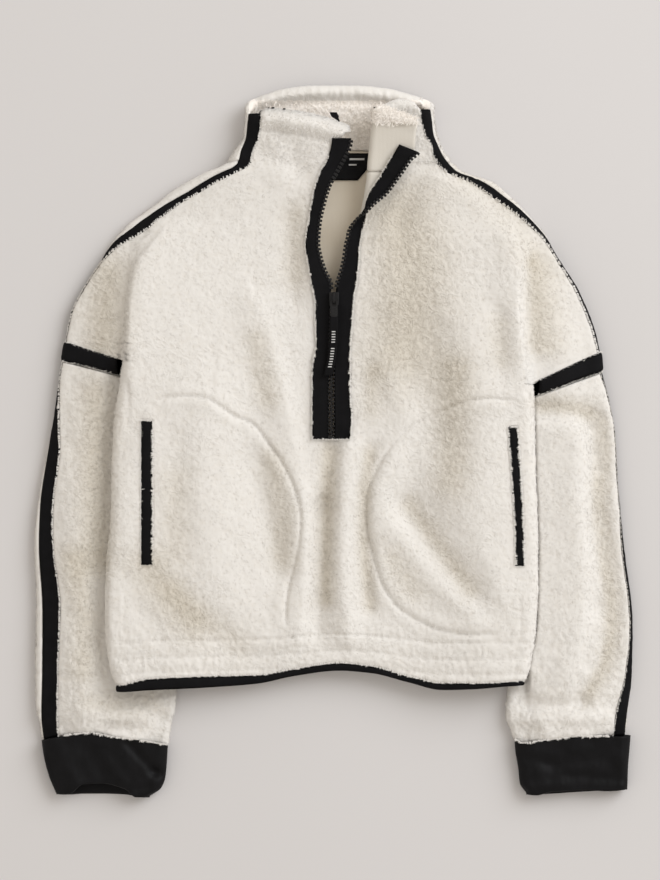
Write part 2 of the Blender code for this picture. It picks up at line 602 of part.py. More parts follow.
def sleeve_rows(side, top):
    """Rows of the front or back half of a sleeve, from the armhole band to the cuff."""
    sign = -1 if side == "left" else 1
    t = SLEEVE[side]
    rows = []
    for i, row in enumerate(SLEEVE_ROWS[side]):
        pts = []

        def put(y_guess, make):
            p = make(y_guess)
            y = sleeve_y(side, row, p[0])
            if i == len(SLEEVE_ROWS[side]) - 1:
                y = float(CUFF_LINE[side]("y", p[0])) + 1.5
            if i == 0:
                y -= 1.0
            pts.append(make(y))

        if top:
            for f in (0, 0.34, 0.68, 1.0):
                def make(y, f=f):
                    s0 = float(t("tape_in", y)) + SEAM
                    s3 = float(unfold(t("out", y) - t("body", y) - 27))
                    return sleeve_point(side, y, s0 + (max(s3, s0 + 6) - s0) * f)
                put(row[0], make)
            for inner in (None, 0.5, 1):
                def make(y, inner=inner):
                    b, n = float(t("body", y)) + 1, float(t("inn", y)) + 9
                    u = b + (n - b) * (0 if inner is None else inner)
                    return sleeve_top(side, sign * u, y)
                put(row[1], make)
            for v in (6, 0.12):
                put(row[2], lambda y, v=v: sleeve_point(side, y, 0, inner=v))
        else:
            for f in (0, 0.4, 0.75, 1.0):
                def make(y, f=f):
                    s0 = float(t("tape_out", y)) - SEAM
                    return sleeve_point(side, y, s0 + (-(FOLD_L + 3) - s0) * f)
                put(row[0], make)
            for f in (0.35, 0.7, 1.0):
                def make(y, f=f):
                    a, n = float(t("out", y)) - 15, float(t("inn", y)) + 9
                    return (sign * (a + (n - a) * f), y, 0.0, 0.0, 0.0, -1.0)
                put(row[1], make)
            for v in (-6, -0.12):
                put(row[2], lambda y, v=v: sleeve_point(side, y, 0, inner=v))
        rows.append(pts)
    return rows[::-1]


def sleeve_tape(side):
    t = SLEEVE[side]
    strip = []
    for i, row in enumerate(SLEEVE_ROWS[side]):
        line = []
        for f in (0, 0.33, 0.67, 1):
            def make(y):
                a, b = float(t("tape_out", y)) + TAPE_SEAM, float(t("tape_in", y)) - TAPE_SEAM
                return sleeve_point(side, y, a + (b - a) * f)
            p = make(row[0])
            y = sleeve_y(side, row, p[0])
            if i == len(SLEEVE_ROWS[side]) - 1:
                y = float(CUFF_LINE[side]("y", p[0])) + 1.5
            if i == 0:
                y -= 1.0
            line.append(make(y))
        strip.append(line)
    sheet("sleeve_tape_" + side, strip[::-1], WOVEN, "woven", flip=(side == "right"))


def armhole_band(side):
    """Woven band in the armhole seam, from the body fold out, round the silhouette and under."""
    sign = -1 if side == "left" else 1
    arm = ARM_LEFT if side == "left" else ARM_RIGHT
    t = UPPER_LEFT if side == "left" else UPPER_RIGHT
    top, low = [], []
    reach = 249 if side == "left" else 236
    y0 = 103 if side == "left" else 90
    out = float(t("out", y0))
    far = float(unfold(out - reach))
    stops = [far, far * 0.75, far * 0.5, 24, 16, 9, 2, -5, -12, -19, -26, -far * 0.6, -far]
    for s in stops:
        inset, lift = fold(s)
        x = sign * (out - inset)
        yt, yl = float(arm("top", x)) - 1.0, float(arm("low", x)) + 0.2
        p = body_point(side, yt, s, True)
        q = sleeve_point(side, yl, float(unfold(float(SLEEVE[side]("out", yl)) - abs(x))) * (1 if s >= 0 else -1)
                         if abs(s) > FOLD_L else s)
        if s < -FOLD_L:
            p, q = ((x, v, 0.0, 0.0, 0.0, -1.0) for v in (yt, yl))
        top.append(p)
        low.append(q)
    inn = float(SLEEVE[side]("inn", arm("low", -171 if side == "left" else 141))) + 4
    for f in (0.5, 1):                        # flat on to the underarm, below the body
        x = sign * (reach + (inn - reach) * f)
        top.append((x, float(arm("top", x)) - 1.0, 0.0, 0.0, 0.0, -1.0))
        low.append((x, float(arm("low", x)) + 0.2, 0.0, 0.0, 0.0, -1.0))
    mid = [between(a, b) for a, b in zip(low, top)]
    sheet("armhole_band_" + side, [low, mid, top], WOVEN, "woven", flip=(side == "left"))


CUFF = {
    "left": Table("y out inn", [(-341, 337.5, 190.5), (-361, 335, 191.5), (-388, 328, 194), (-400, 323, 199), (-409, 319, 212)]),
    "right": Table("y out inn", [(-339, 342, 207.5), (-352, 341, 208), (-378, 339, 212), (-395, 338.5, 214), (-405, 338, 221)]),
}
CUFF_END = {
    "left": Table("x low mouth", [(-340, -407, 0), (-305, -408, 1), (-288, -407, 12), (-268, -407, 13), (-241, -408, 7), (-228, -410, 0), (-190, -411, 0)]),
    "right": Table("x low mouth", [(205, -405, 0), (232, -408, 0), (253, -407, 3), (283, -405, 3), (320, -403, 0), (345, -401, 0)]),
}


def cuff(side):
    sign = -1 if side == "left" else 1
    rows = []
    loop = [(0.01, 1), (0.07, 1), (0.2, 1), (0.4, 1), (0.6, 1), (0.8, 1), (0.93, 1), (0.99, 1),
            (0.99, -1), (0.93, -1), (0.8, -1), (0.5, -1), (0.2, -1), (0.07, -1), (0.01, -1)]
    for k, v in enumerate((0.0, 0.35, 0.7, 1.0)):
        line = []
        for f, up in loop:
            y = -341 - 66 * v
            for _ in range(3):
                o, n = float(CUFF[side]("out", y)), float(CUFF[side]("inn", y))
                x = sign * (o + (n - o) * f)
                y_top = float(CUFF_LINE[side]("y", x)) - 0.1
                y_end = float(CUFF_END[side]("low", x)) + (float(CUFF_END[side]("mouth", x)) if up > 0 else 0)
                y = y_top + (y_end - y_top) * v
            near = min(f, 1 - f) * (o - n)
            lift = math.sqrt(max(0.0, 1 - (1 - min(near / FOLD_R, 1)) ** 2))
            h = 21.5 - 3.5 * v
            line.append((x, y, h / 2 + up * h / 2 * lift))
        rows.append(line)
    sheet("cuff_" + side, rows[::-1], CUFF_WALL, "cuff", flip=(side == "right"), ring=True)


for side in ("left", "right"):
    shoulder_tape(side)
    sheet("sleeve_front_" + side, sleeve_rows(side, True), FLEECE, "fleece", flip=(side == "right"))
    sheet("sleeve_back_" + side, sleeve_rows(side, False), FLEECE, "fleece", flip=(side == "left"))
    sleeve_tape(side)
    armhole_band(side)
    cuff(side)


# ---- collar
def collar_levels(side):
    """Heights of the collar's rows beside the tape, from the neck seam up, as fractions too."""
    y = [322] + TAPE_TOP[side]
    return [(v, (v - y[0]) / (y[-1] - y[0])) for v in y]


def collar_front(side):
    left = side == "left"
    t = UPPER_LEFT if left else UPPER_RIGHT
    top = COLLAR_TOP_LEFT if left else COLLAR_TOP_RIGHT
    seam_row = PANEL_ROWS[-1][:HALF] if left else PANEL_ROWS[-1][HALF:][::-1]
    base = [shifted(p, 0.6) for p in seam_row]
    span = [(p[0] - base[0][0]) / (base[-2][0] - base[0][0]) for p in base]
    rows, tail = [base], {0: [shifted(p, 0.6) for p in LAPEL_ROWS[len(PANEL_ROWS) - 1]]}
    for k, (y0, v) in list(enumerate(collar_levels(side)))[1:]:
        start = float(t("tape_in", y0)) + SEAM
        line = [body_point(side, y0, start, True)]
        y1 = base[-1][1] + (float(top("high", 1)) - base[-1][1]) * v
        if left:
            edge = float(ZIP_LEFT("outer", y1)) if k < 4 else 2.0
            end = edge + (PANEL_UNDER_TAPE if k < 4 else 13.0)
        else:
            end = float(LAPEL("line", y1))
            edge = end + 12
        a = line[0][0]
        for f, p in zip(span[1:-1], base[1:-1]):
            x, y = a + (edge - a) * f, p[1] + (float(top("high", f)) - p[1]) * v
            line.append(body_near(side, x, y, True) if abs(x) > 70 else front_point(x, y))
        line.append(front_point(end, y1))
        rows.append(line)
        tail[k] = lapel_points(y1, 0.37 * ramp((y1 - 318) / 50))
    if left:
        sheet("collar_front_left", rows, FLEECE, "fleece")
    else:
        sheet("collar_front_right", [r[::-1] for r in rows], FLEECE, "fleece", flap=(0, tail))


collar_front("left")
collar_front("right")


def collar_back():
    """Back of the stand collar, wrapping forward at both folds to the tapes."""
    rows = [[shifted(p, 0.4) for p in BACK_ROWS[-1]]]
    n = len(rows[0]) // 2
    for k in range(1, 5):
        line = []
        for side in ("left", "right"):
            t = UPPER_LEFT if side == "left" else UPPER_RIGHT
            base = rows[0][:n] if side == "left" else rows[0][:n:-1]
            y0, v = collar_levels(side)[k]
            high = Table("j y", [(0, collar_levels(side)[-1][0]), (1, 392), (3, 400), (n, 409)])
            start = float(t("tape_out", y0)) - SEAM
            part = []
            for j, p in enumerate(base):
                y = p[1] + (float(high("y", j)) - p[1]) * v if j else y0
                if j < 4:
                    part.append(body_point(side, y, start + (-(FOLD_L + 4) - start) * j / 3, True))
                else:
                    x0 = part[3][0]
                    x = x0 * p[0] / base[3][0]
                    part.append(back_point(x, y))
            line.append(part)
        y = rows[0][n][1] + (409 - rows[0][n][1]) * v
        rows.append(line[0] + [back_point(0.0, y)] + line[1][::-1])
    sheet("collar_back", rows, FLEECE, "fleece", flip=True)


collar_back()


# ---- zip
def zip_left():
    rows = []
    for y in (2, 45, 91, 110, 131, 155, 172, 186, 200, 214, 227, 240, 252, 270, 290, 300, 309, 320, 334, 347):
        o, t = float(ZIP_LEFT("outer", y)), float(ZIP_LEFT("teeth", y))
        z = float(front_height(o, y)) + 1.0 + WOVEN
        zi = float(front_height(o + PANEL_UNDER_TAPE, y)) + 1.0 + WOVEN
        if y < 20:
            z, zi = max(z, zi), max(z, zi)
        rows.append([(o, y, z), (o + PANEL_UNDER_TAPE, y, zi), (t, y, zi - 0.3)])
    sheet("zip_tape_left", rows, WOVEN, "woven")


def zip_right():
    rows = []
    for y in (-2, 45, 91, 110, 131, 155, 172, 186, 200, 214, 227):
        o, t = float(ZIP_RIGHT_LOW("outer", y)), float(ZIP_RIGHT_LOW("teeth", y))
        z = float(front_height(o, y)) + 1.0 + WOVEN
        zi = float(front_height(o - PANEL_UNDER_TAPE, y)) + 1.0 + WOVEN
        if y < 20:
            z, zi = max(z, zi), max(z, zi)
        rows.append([(t, y, zi - 0.3), (o - PANEL_UNDER_TAPE, y, zi), (o, y, z)])
    for y in (238, 247, 254, 262, 270, 283, 300, 320, 340):
        r = {n: float(ZIP_RIGHT_TURN(n, y)) for n in ("ax", "az", "bx", "bz", "cx", "cz")}
        base = float(front_height(r["ax"] + 4, y)) + 1.0 + WOVEN
        over = max(base, float(front_height(r["cx"], y)) + 1.0 + WOVEN) if y > 265 else base
        slope = 9.0 * ramp((y - 320) / 20)
        rows.append([(r["cx"], y - slope, over + r["cz"]), (r["bx"], y - slope / 2, (base + over) / 2 + r["bz"]), (r["ax"], y, base + r["az"])])
    sheet("zip_tape_right", rows, WOVEN, "woven")


zip_left()
zip_right()


def box(name, center, size, kind=None, bevel=0.0):
    """A box primitive at its place; without a kind it is a cutter or a part to join."""
    bpy.ops.mesh.primitive_cube_add(size=1, location=[c * MM for c in center])
    ob = bpy.context.object
    ob.name = name
    ob.data.name = name
    ob.scale = [s * MM for s in size]
    bpy.context.view_layer.update()
    for v in ob.data.vertices:
        v.co = [a * b for a, b in zip(v.co, ob.scale)]
    ob.scale = (1, 1, 1)
    for c in list(ob.users_collection):
        c.objects.unlink(ob)
    if kind:
        GARMENT.objects.link(ob)
        color, rough = KINDS[kind]
        ob.data.materials.append(material(name, color, rough))
    else:
        CUTTERS.objects.link(ob)
        ob.hide_render = True
        ob.display_type = "WIRE"
    if bevel:
        m = ob.modifiers.new("Edges", "BEVEL")
        m.width = bevel * MM
        m.segments = 1
    return ob


def join(ob, others):
    for k, other in enumerate(others):
        m = ob.modifiers.new("Join%d" % k, "BOOLEAN")
        m.operation = "UNION"
        m.object = other
    return ob


ZIP_X = -2.5
ZIP_Z = float(front_height(-17, 120)) + 1.0 + WOVEN
# closed chain of teeth below the slider
rows = []
for y in (6, 40, 75, 110, 146):
    c = (float(ZIP_LEFT("teeth", y)) + float(ZIP_RIGHT_LOW("teeth", y))) / 2
    z = float(front_height(-17, y)) + 1.0 + WOVEN + 0.9
    rows.append([(c - 2.2, y, z - 0.8), (c, y, z), (c + 2.2, y, z - 0.8)])
sheet("zip_chain", rows, 3.0, "moulded")

# slider: two plates and the wedge between them, with the bridge that holds the pull
SLIDER_Y, SLIDER_TOP = 163.0, ZIP_Z + 2.4
X = 0.0
slider = box("zip_slider", (X, SLIDER_Y, SLIDER_TOP + 1.2), (11.0, 17.0, 2.0), "moulded", 0.5)
join(slider, [
    box("slider_under", (X, SLIDER_Y, SLIDER_TOP - 7.0), (10.0, 15.0, 1.8)),
    box("slider_wedge", (X, SLIDER_Y + 6.2, SLIDER_TOP - 3.0), (2.2, 3.6, 7.4)),
    box("slider_post_up", (X, SLIDER_Y + 5.5, SLIDER_TOP + 3.6), (2.4, 1.8, 4.4)),
    box("slider_post_down", (X, SLIDER_Y - 4.5, SLIDER_TOP + 3.6), (2.4, 1.8, 4.4)),
    box("slider_bar", (X, SLIDER_Y + 0.5, SLIDER_TOP + 6.0), (2.4, 11.8, 1.5))])

# pull: an eye round the bridge, a flat tab and the ribbon on it; it swings on the eye's cross bar
HINGE = (X, SLIDER_Y - 1.6, SLIDER_TOP + 3.6)
pivot = bpy.data.objects.new("pull_pivot", None)
pivot.location = [c * MM for c in HINGE]
GARMENT.objects.link(pivot)
tab = box("pull_tab", (X, HINGE[1] - 12.5, HINGE[2]), (8.6, 13.0, 1.6), "moulded", 0.4)
join(tab, [
    box("eye_bar", (X, HINGE[1], HINGE[2]), (8.6, 1.5, 1.5)),
    box("eye_arm_left", (X - 3.5, HINGE[1] - 3.6, HINGE[2]), (1.6, 8.6, 1.5)),
    box("eye_arm_right", (X + 3.5, HINGE[1] - 3.6, HINGE[2]), (1.6, 8.6, 1.5))])
rows = []
RIBBON = Table("d x half", [(0, 0, 4.8), (22, -0.4, 5.0), (44, -2.0, 5.0), (70, -7.0, 5.0)])
for d in (0, 14, 28, 42, 56, 70):
    x, h = float(RIBBON("x", d)), float(RIBBON("half", d))
    y = HINGE[1] - 19.6 - d * 0.965
    z = HINGE[2] + 0.9 - 1.6 * ramp(d / 40)
    rows.append([(X + x - h, y, z), (X + x + h, y + 0.12 * h * ramp(d / 40), z)])
ribbon = sheet("pull_ribbon", rows[::-1], 1.6, "woven")
for ob in (tab, ribbon):
    ob.parent = pivot
    ob.matrix_parent_inverse = Matrix.Translation([-c * MM for c in HINGE])

# ---- label at the back neck, and the end of the zip tape turned inside the collar
rows = []
for y, cut in ((300.5, 12.5), (303, 10.2), (309, 5.2), (315.5, 0), (332, 0)):
    rows.append([(-24 + cut, y, 5.9), (8, y, 5.9), (40 - cut, y, 5.9)])
sheet("neck_label", rows, 0.9, "label")
rows = [[(-6, y, 29.6), (7, y - 2.0, 29.6)] for y in (354, 366, 377)]
sheet("zip_tape_end", rows, 1.4, "woven")
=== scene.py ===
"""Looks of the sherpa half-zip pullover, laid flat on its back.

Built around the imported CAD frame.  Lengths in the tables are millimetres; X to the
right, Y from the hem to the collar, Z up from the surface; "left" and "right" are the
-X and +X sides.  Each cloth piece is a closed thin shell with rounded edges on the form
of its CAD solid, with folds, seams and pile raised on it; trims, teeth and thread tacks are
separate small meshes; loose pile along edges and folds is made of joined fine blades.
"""
import math

import bmesh
import bpy
import numpy as np
from mathutils import Matrix, Vector, kdtree


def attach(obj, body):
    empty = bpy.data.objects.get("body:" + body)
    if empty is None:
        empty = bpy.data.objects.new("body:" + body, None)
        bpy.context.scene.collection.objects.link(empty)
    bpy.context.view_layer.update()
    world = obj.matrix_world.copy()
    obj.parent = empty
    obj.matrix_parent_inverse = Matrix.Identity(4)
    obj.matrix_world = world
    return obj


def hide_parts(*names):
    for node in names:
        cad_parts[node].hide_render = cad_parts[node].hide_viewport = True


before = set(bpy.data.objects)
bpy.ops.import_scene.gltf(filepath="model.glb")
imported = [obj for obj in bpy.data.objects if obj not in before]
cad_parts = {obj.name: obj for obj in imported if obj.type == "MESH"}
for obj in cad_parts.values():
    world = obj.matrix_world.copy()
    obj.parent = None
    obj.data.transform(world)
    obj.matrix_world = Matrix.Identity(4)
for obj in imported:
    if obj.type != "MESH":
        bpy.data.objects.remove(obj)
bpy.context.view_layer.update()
RNG = np.random.default_rng(11)

MM = 0.001
FLEECE = 4.0          # fleece wall
WOVEN = 1.8           # woven tapes, bands and bindings (folded double)
CUFF_WALL = 2.4       # cuff, folded double
SEAM = 0.15           # each panel stops this far from a seam line
SIDE_SEAM = 0.25      # the front and the back stop this far from the side seam
TAPE_SEAM = 1.3       # and each tape this far, being thinner than the panels beside it
FOLD_R = 12.0         # side folds: how far in from the silhouette they round over
FOLD_L = 18.0         # the same fold measured along the cloth
CHEST = 25.0          # outer face of the front over the middle of the body
OVER_SLEEVE = 15.0    # underside of the body where it lies on a sleeve
SLEEVE_TOP = 25.0     # outer face of a sleeve beside the body
SLEEVE_UNDER = 13.2   # outer face of a sleeve under the body
LAPEL_R = 2.6         # inner radius of the turned-back zip edge
PANEL_UNDER_TAPE = 8.0
NECK_FRONT, NECK_BACK = -14.0, 13.0   # how the neck seam bows at the middle
EDGE_DROP = 9.0      # how much thinner the laid garment is near its folded edges

# ---------------------------------------------------------------- tools
def ramp(t):
    t = np.clip(t, 0.0, 1.0)
    return t * t * (3.0 - 2.0 * t)


class Table:
    """Rows of a short table, read by a smooth curve that never overshoots."""

    def __init__(self, names, rows):
        data = np.array(sorted(rows), dtype=float)
        self.key = data[:, 0]
        self.cols = dict(zip(names.split()[1:], data[:, 1:].T))
        self.slope = {}
        h = np.diff(self.key)
        for name, v in self.cols.items():
            s = np.diff(v) / h
            m = np.zeros_like(v)
            m[0], m[-1] = s[0], s[-1]
            for i in range(1, len(v) - 1):
                if s[i - 1] * s[i] > 0:
                    w1, w2 = 2 * h[i] + h[i - 1], h[i] + 2 * h[i - 1]
                    m[i] = (w1 + w2) / (w1 / s[i - 1] + w2 / s[i])
            self.slope[name] = m

    def __call__(self, name, t):
        t = np.clip(np.asarray(t, dtype=float), self.key[0], self.key[-1])
        i = np.clip(np.searchsorted(self.key, t) - 1, 0, len(self.key) - 2)
        h = self.key[i + 1] - self.key[i]
        u = (t - self.key[i]) / h
        v, m = self.cols[name], self.slope[name]
        return (v[i] * (1 + 2 * u) * (1 - u) ** 2 + v[i + 1] * u * u * (3 - 2 * u)
                + m[i] * h * u * (1 - u) ** 2 - m[i + 1] * h * u * u * (1 - u))


# ---------------------------------------------------------------- outline
SIDE = Table("y left right", [
    (-292, -243, 204), (-282, -250, 213), (-272, -254, 221), (-246, -261, 228),
    (-204, -264, 233), (-155, -263, 235), (-91, -257, 234), (-43, -256, 232),
    (22, -253, 231), (51, -249, 230), (66, -246, 229), (93, -243, 228)])
UPPER_LEFT = Table("y out tape_in tape_out", [     # silhouette, and tape edges along the cloth from it
    (90, 313, 4, -11), (113, 310, 4, -11), (144, 305, 6, -9), (168, 294, 5, -9), (194, 278, 5, -8),
    (210, 268, 9, -4), (224, 259, 16, 2), (247, 239, 33, 16), (271, 208, 33, 19), (290, 183, 41, 27),
    (308, 151, 43, 26), (317, 128, 36, 22), (335, 114, 27, 14), (348, 105, 24, 9), (369, 102, 24, 8),
    (390, 99, 24, 8), (400, 93, 24, 8)])
UPPER_RIGHT = Table("y out tape_in tape_out", [
    (60, 309, 8, -7), (95, 308, 8, -7), (118, 304, 9, -6), (167, 286, 10, -5), (218, 255, 9, -4),
    (235, 245, 12, 0), (259, 225, 18, 6), (285, 199, 28, 15), (299, 180, 31, 17), (310, 147, 24, 11),
    (320, 136, 24, 11), (339, 123, 17, 8), (351, 119, 20, 10), (371, 115, 21, 8), (391, 112, 21, 8),
    (400, 104, 21, 8)])
ARM_LEFT = Table("x top low", [(-310, 113.3, 93), (-241, 92.5, 75), (-171, 73, 55)])
ARM_RIGHT = Table("x top low", [(139, 26, 17), (228, 66, 51), (306, 101, 80), (309, 102, 81)])
ARM_EDGE = Table("y left", [(93, -243), (98, -259), (103, -276), (108, -292.5), (113, -309)])
ARM_EDGE_R = Table("y right", [(66, 228), (75, 247), (84, 268), (92, 286), (101, 305)])
CREASE = Table("y left", [(60, -262), (79, -250), (93, -242), (110, -241), (148, -239), (174, -236), (206, -229),
                          (220, -217), (243, -200)])
CREASE_R = Table("y right", [(40, 250), (60, 236), (70, 226), (105, 221), (128, 217), (162, 214), (174, 215),
                             (197, 220), (225, 228), (245, 236)])
SIDE_LIFT = Table("y left right", [(-290, 11, 11), (-200, 12, 12), (60, 13, 13), (95, 13, 12), (150, 11, 10),
                                   (200, 7, 7), (235, 3, 3), (258, 0, 0)])
HEM = Table("x up low", [(-262, -281, -288), (-245, -280, -288), (-213, -273, -286), (-146, -270, -283),
                         (-89, -269, -279), (-45, -262, -270), (6, -255, -264), (44, -259, -267), (84, -270, -277),
                         (124, -278, -286), (158, -278, -285), (218, -275, -279)])
SLEEVE = {
    "left": Table("y out inn body tape_in tape_out", [
        (-360, 334, 192, 262, 24, 8), (-339, 337, 190, 262, 25, 7), (-301, 343, 182, 262, 30, 13), (-253, 344, 180, 261, 32, 15),
        (-189, 343, 177, 264, 33, 14), (-130, 345, 175, 262, 28, 12), (-74, 341, 173, 257, 23, 8),
        (-22, 332, 171, 255, 21, 3), (13, 326, 171, 253, 15, -3), (47, 321, 171, 250, 9, -7), (76, 317, 171, 246, 5, -10), (95, 313, 171, 243, 4, -11)]),
    "right": Table("y out inn body tape_in tape_out", [
        (-360, 341, 208, 225, 22, 2), (-340, 336, 206, 225, 20, 2), (-317, 338, 198, 225, 19, 0), (-269, 344, 200, 224, 14, -5),
        (-210, 345, 184, 233, 9, -9), (-182, 343, 179, 234, 9, -9), (-137, 337, 172, 235, 9, -9), (-91, 332, 165, 234, 6, -12),
        (-45, 328, 160, 232, 5, -13), (6, 325, 151, 231, 4, -13), (51, 317, 145, 230, 5, -11), (81, 309, 141, 229, 8, -8)]),
}
# rows of the front and the back: height on the left side and on the right side
BODY_ROWS = [(-272, -272), (-255, -255), (-222, -222), (-183, -183), (-143, -144), (-108, -108), (-72, -72),
             (-35, -35), (5, 5), (24, 17), (50, 38), (75, 54), (88, 62), (93, 66), (98, 75), (103, 84), (108, 92),
             (113, 101), (132, 124), (155, 152), (178, 178), (202, 202), (224, 224), (246, 246), (268, 268),
             (284, 284), (298, 298), (310, 310), (322, 322)]
SLIT_ROW = 8          # the zip slit is open above this row
WELT_ROWS = (4, 9)
ARM_ROW = 13          # first row of the drop shoulder
# columns that follow the side fold or the crease, and the two edges of the pocket welt
GUIDE = {
    "left": Table("y fold outer inner", [
        (-292, 228, 219, 207), (-272, 238, 221, 208), (-143, 242, 221, 208), (24, 233, 221, 208), (75, 228, 216, 203), (88, 226, 214, 200),
        (98, 247, 235, 212), (174, 243, 230, 206), (222, 222, 208, 184), (250, 196, 180, 156), (290, 128, 112, 97), (322, 93, 83, 70)]),
    "right": Table("y fold outer inner", [
        (-292, 196, 189, 178), (-262, 210, 203, 192), (-200, 219, 212, 202), (-144, 223, 218, 208), (17, 217, 210, 199),
        (50, 215, 207, 196), (62, 215, 206, 194), (70, 233, 221, 200), (105, 227, 215, 196), (162, 220, 208, 188), (197, 226, 213, 190),
        (225, 231, 217, 190), (250, 204, 190, 166), (290, 150, 132, 112), (322, 115, 103, 88)]),
}
# zip: outer (sewn) edge and teeth edge of each tape, and the line of the lapel's fold
ZIP_LEFT = Table("y outer teeth", [
    (2, -25, -6), (59, -25, -6), (91, -24, -6), (110, -20, -6), (131, -21, -5), (162, -22, -4), (179, -25, -3), (195, -28, -10), (210, -31, -15),
    (227, -33, -18), (252, -29, -16), (270, -26, -12), (290, -22, -6), (310, -15, 4), (324, -7, 12), (340, -3, 19), (349, -2, 20)])
ZIP_RIGHT_LOW = Table("y outer teeth", [
    (-2, 18, 0), (25, 20, 0), (55, 18, 0), (98, 18, 0), (131, 20, 1), (170, 23, 2), (179, 25, 3), (195, 27, 8), (208, 28, 11),
    (227, 29, 14), (238, 31, 17)])
# above it the tape turns over: sewn edge, middle, teeth edge, each with its height over the front
ZIP_RIGHT_TURN = Table("y ax az bx bz cx cz", [
    (238, 31, 1, 24, 1, 17, 3), (247, 34.5, 2, 27, 3, 22, 8), (254, 36.5, 4, 30, 6, 28, 12), (262, 37, 9, 33.5, 12, 37.5, 15),
    (270, 36, 11.5, 39, 13, 44, 13.5), (283, 40, 10.8, 49, 11, 59, 11), (300, 51, 10.5, 61, 10.5, 72, 10.5), (320, 63, 10.5, 75, 10.5, 86, 10.5),
    (340, 75, 10.5, 86, 10.5, 97, 10.5)])
LAPEL = Table("y line width", [(238, 23, 0), (246, 29, 2), (254, 33, 4), (262, 37, 7), (270, 38.5, 11), (283, 41, 16), (300, 43.5, 24),
                               (320, 45, 34), (335, 46.5, 47), (346, 47.5, 53), (366, 51, 51), (382, 54, 50)])
TAPE_TOP = {"left": [336, 350, 364, 375], "right": [338.5, 355, 371.5, 381]}     # rows of the collar beside the tape
COLLAR_TOP_LEFT = Table("f high", [(0, 376), (0.2, 375), (0.5, 371), (0.8, 364), (1, 357)])
COLLAR_TOP_RIGHT = Table("f high", [(0, 382), (0.15, 389), (0.5, 392), (1, 384)])
# folds of the front: ridge (+) or trough (-) along a line, with its half width
FOLDS = [  # x0, y0, x1, y1, half width, height
    (0, -6, -12, -75, 11, -5.0), (-12, -75, -20, -215, 12, -7.0), (-34, -60, -36, -220, 12, 2.5),
    (12, -40, 12, -215, 14, 2.5), (36, -70, 38, -190, 12, -4.0), (82, -78, 155, -172, 18, -6.5),
    (70, -100, 160, -205, 14, 2.5), (108, 40, 104, -60, 26, -3.0), (-93, -33, -60, -150, 17, -4.5),
    (-205, -155, -128, -232, 24, -3.0), (-185, 0, -165, -120, 20, -2.5), (-50, 245, -48, 165, 15, -4.0),
    (78, 240, 110, 120, 34, -3.5), (187, 145, 190, 85, 15, -3.0), (-60, 40, -64, 130, 14, 1.5)]
SLEEVE_FOLDS = {
    "left": [(-236, 55, -236, -60, 14, -3.0), (-250, -120, -240, -220, 16, -3.0), (-275, -345, -205, -318, 12, -3.5), (-300, -60, -300, -250, 20, 1.5)],
    "right": [(305, -10, 302, -190, 11, -5.0), (302, -190, 290, -250, 11, -4.0), (235, 38, 300, 20, 12, -5.0), (300, 20, 305, -10, 11, -5.0),
              (268, 0, 265, -240, 26, 3.0), (229, -305, 283, -303, 10, -4.0), (250, -325, 320, -322, 14, 2.5)],
}




# ---------------------------------------------------------------- lines
def px(points):
    """Points given in the outline drawing's units (1.15 mm, origin at 334, 441) to millimetres."""
    a = np.array(points, float)
    return np.stack([(a[:, 0] - 334) * 1.15, (441 - a[:, 1]) * 1.15], -1)


def to_line(x, y, line):
    """Signed distance from a line of points: + to the right of it; also the way along it, 0 to 1."""
    best = np.full(np.shape(x), 1e9)
    side = np.zeros(np.shape(x))
    way = np.zeros(np.shape(x))
    seg = np.hypot(*(line[1:] - line[:-1]).T)
    total = np.concatenate([[0], np.cumsum(seg)])
    for k in range(len(line) - 1):
        (x0, y0), (x1, y1) = line[k], line[k + 1]
        ux, uy = (x1 - x0) / seg[k], (y1 - y0) / seg[k]
        t = np.clip((x - x0) * ux + (y - y0) * uy, 0, seg[k])
        dx, dy = x - x0 - t * ux, y - y0 - t * uy
        d = np.hypot(dx, dy)
        near = d < best
        best = np.where(near, d, best)
        side = np.where(near, np.sign(dx * uy - dy * ux), side)
        way = np.where(near, (total[k] + t) / total[-1], way)
    return best * side, way


def smooth_line(points, step=4.0):
    """A smooth curve through points, sampled every few millimetres."""
    p = np.asarray(points, float)
    q = np.vstack([2 * p[0] - p[1], p, 2 * p[-1] - p[-2]])
    out = []
    for i in range(1, len(q) - 2):
        n = max(1, int(np.hypot(*(q[i + 1] - q[i])[:2]) / step))
        for k in range(n):
            t = k / n
            out.append(0.5 * ((2 * q[i]) + (-q[i - 1] + q[i + 1]) * t + (2 * q[i - 1] - 5 * q[i] + 4 * q[i + 1] - q[i + 2]) * t * t
                              + (-q[i - 1] + 3 * q[i] - 3 * q[i + 1] + q[i + 2]) * t ** 3))
    return np.array(out + [p[-1]])
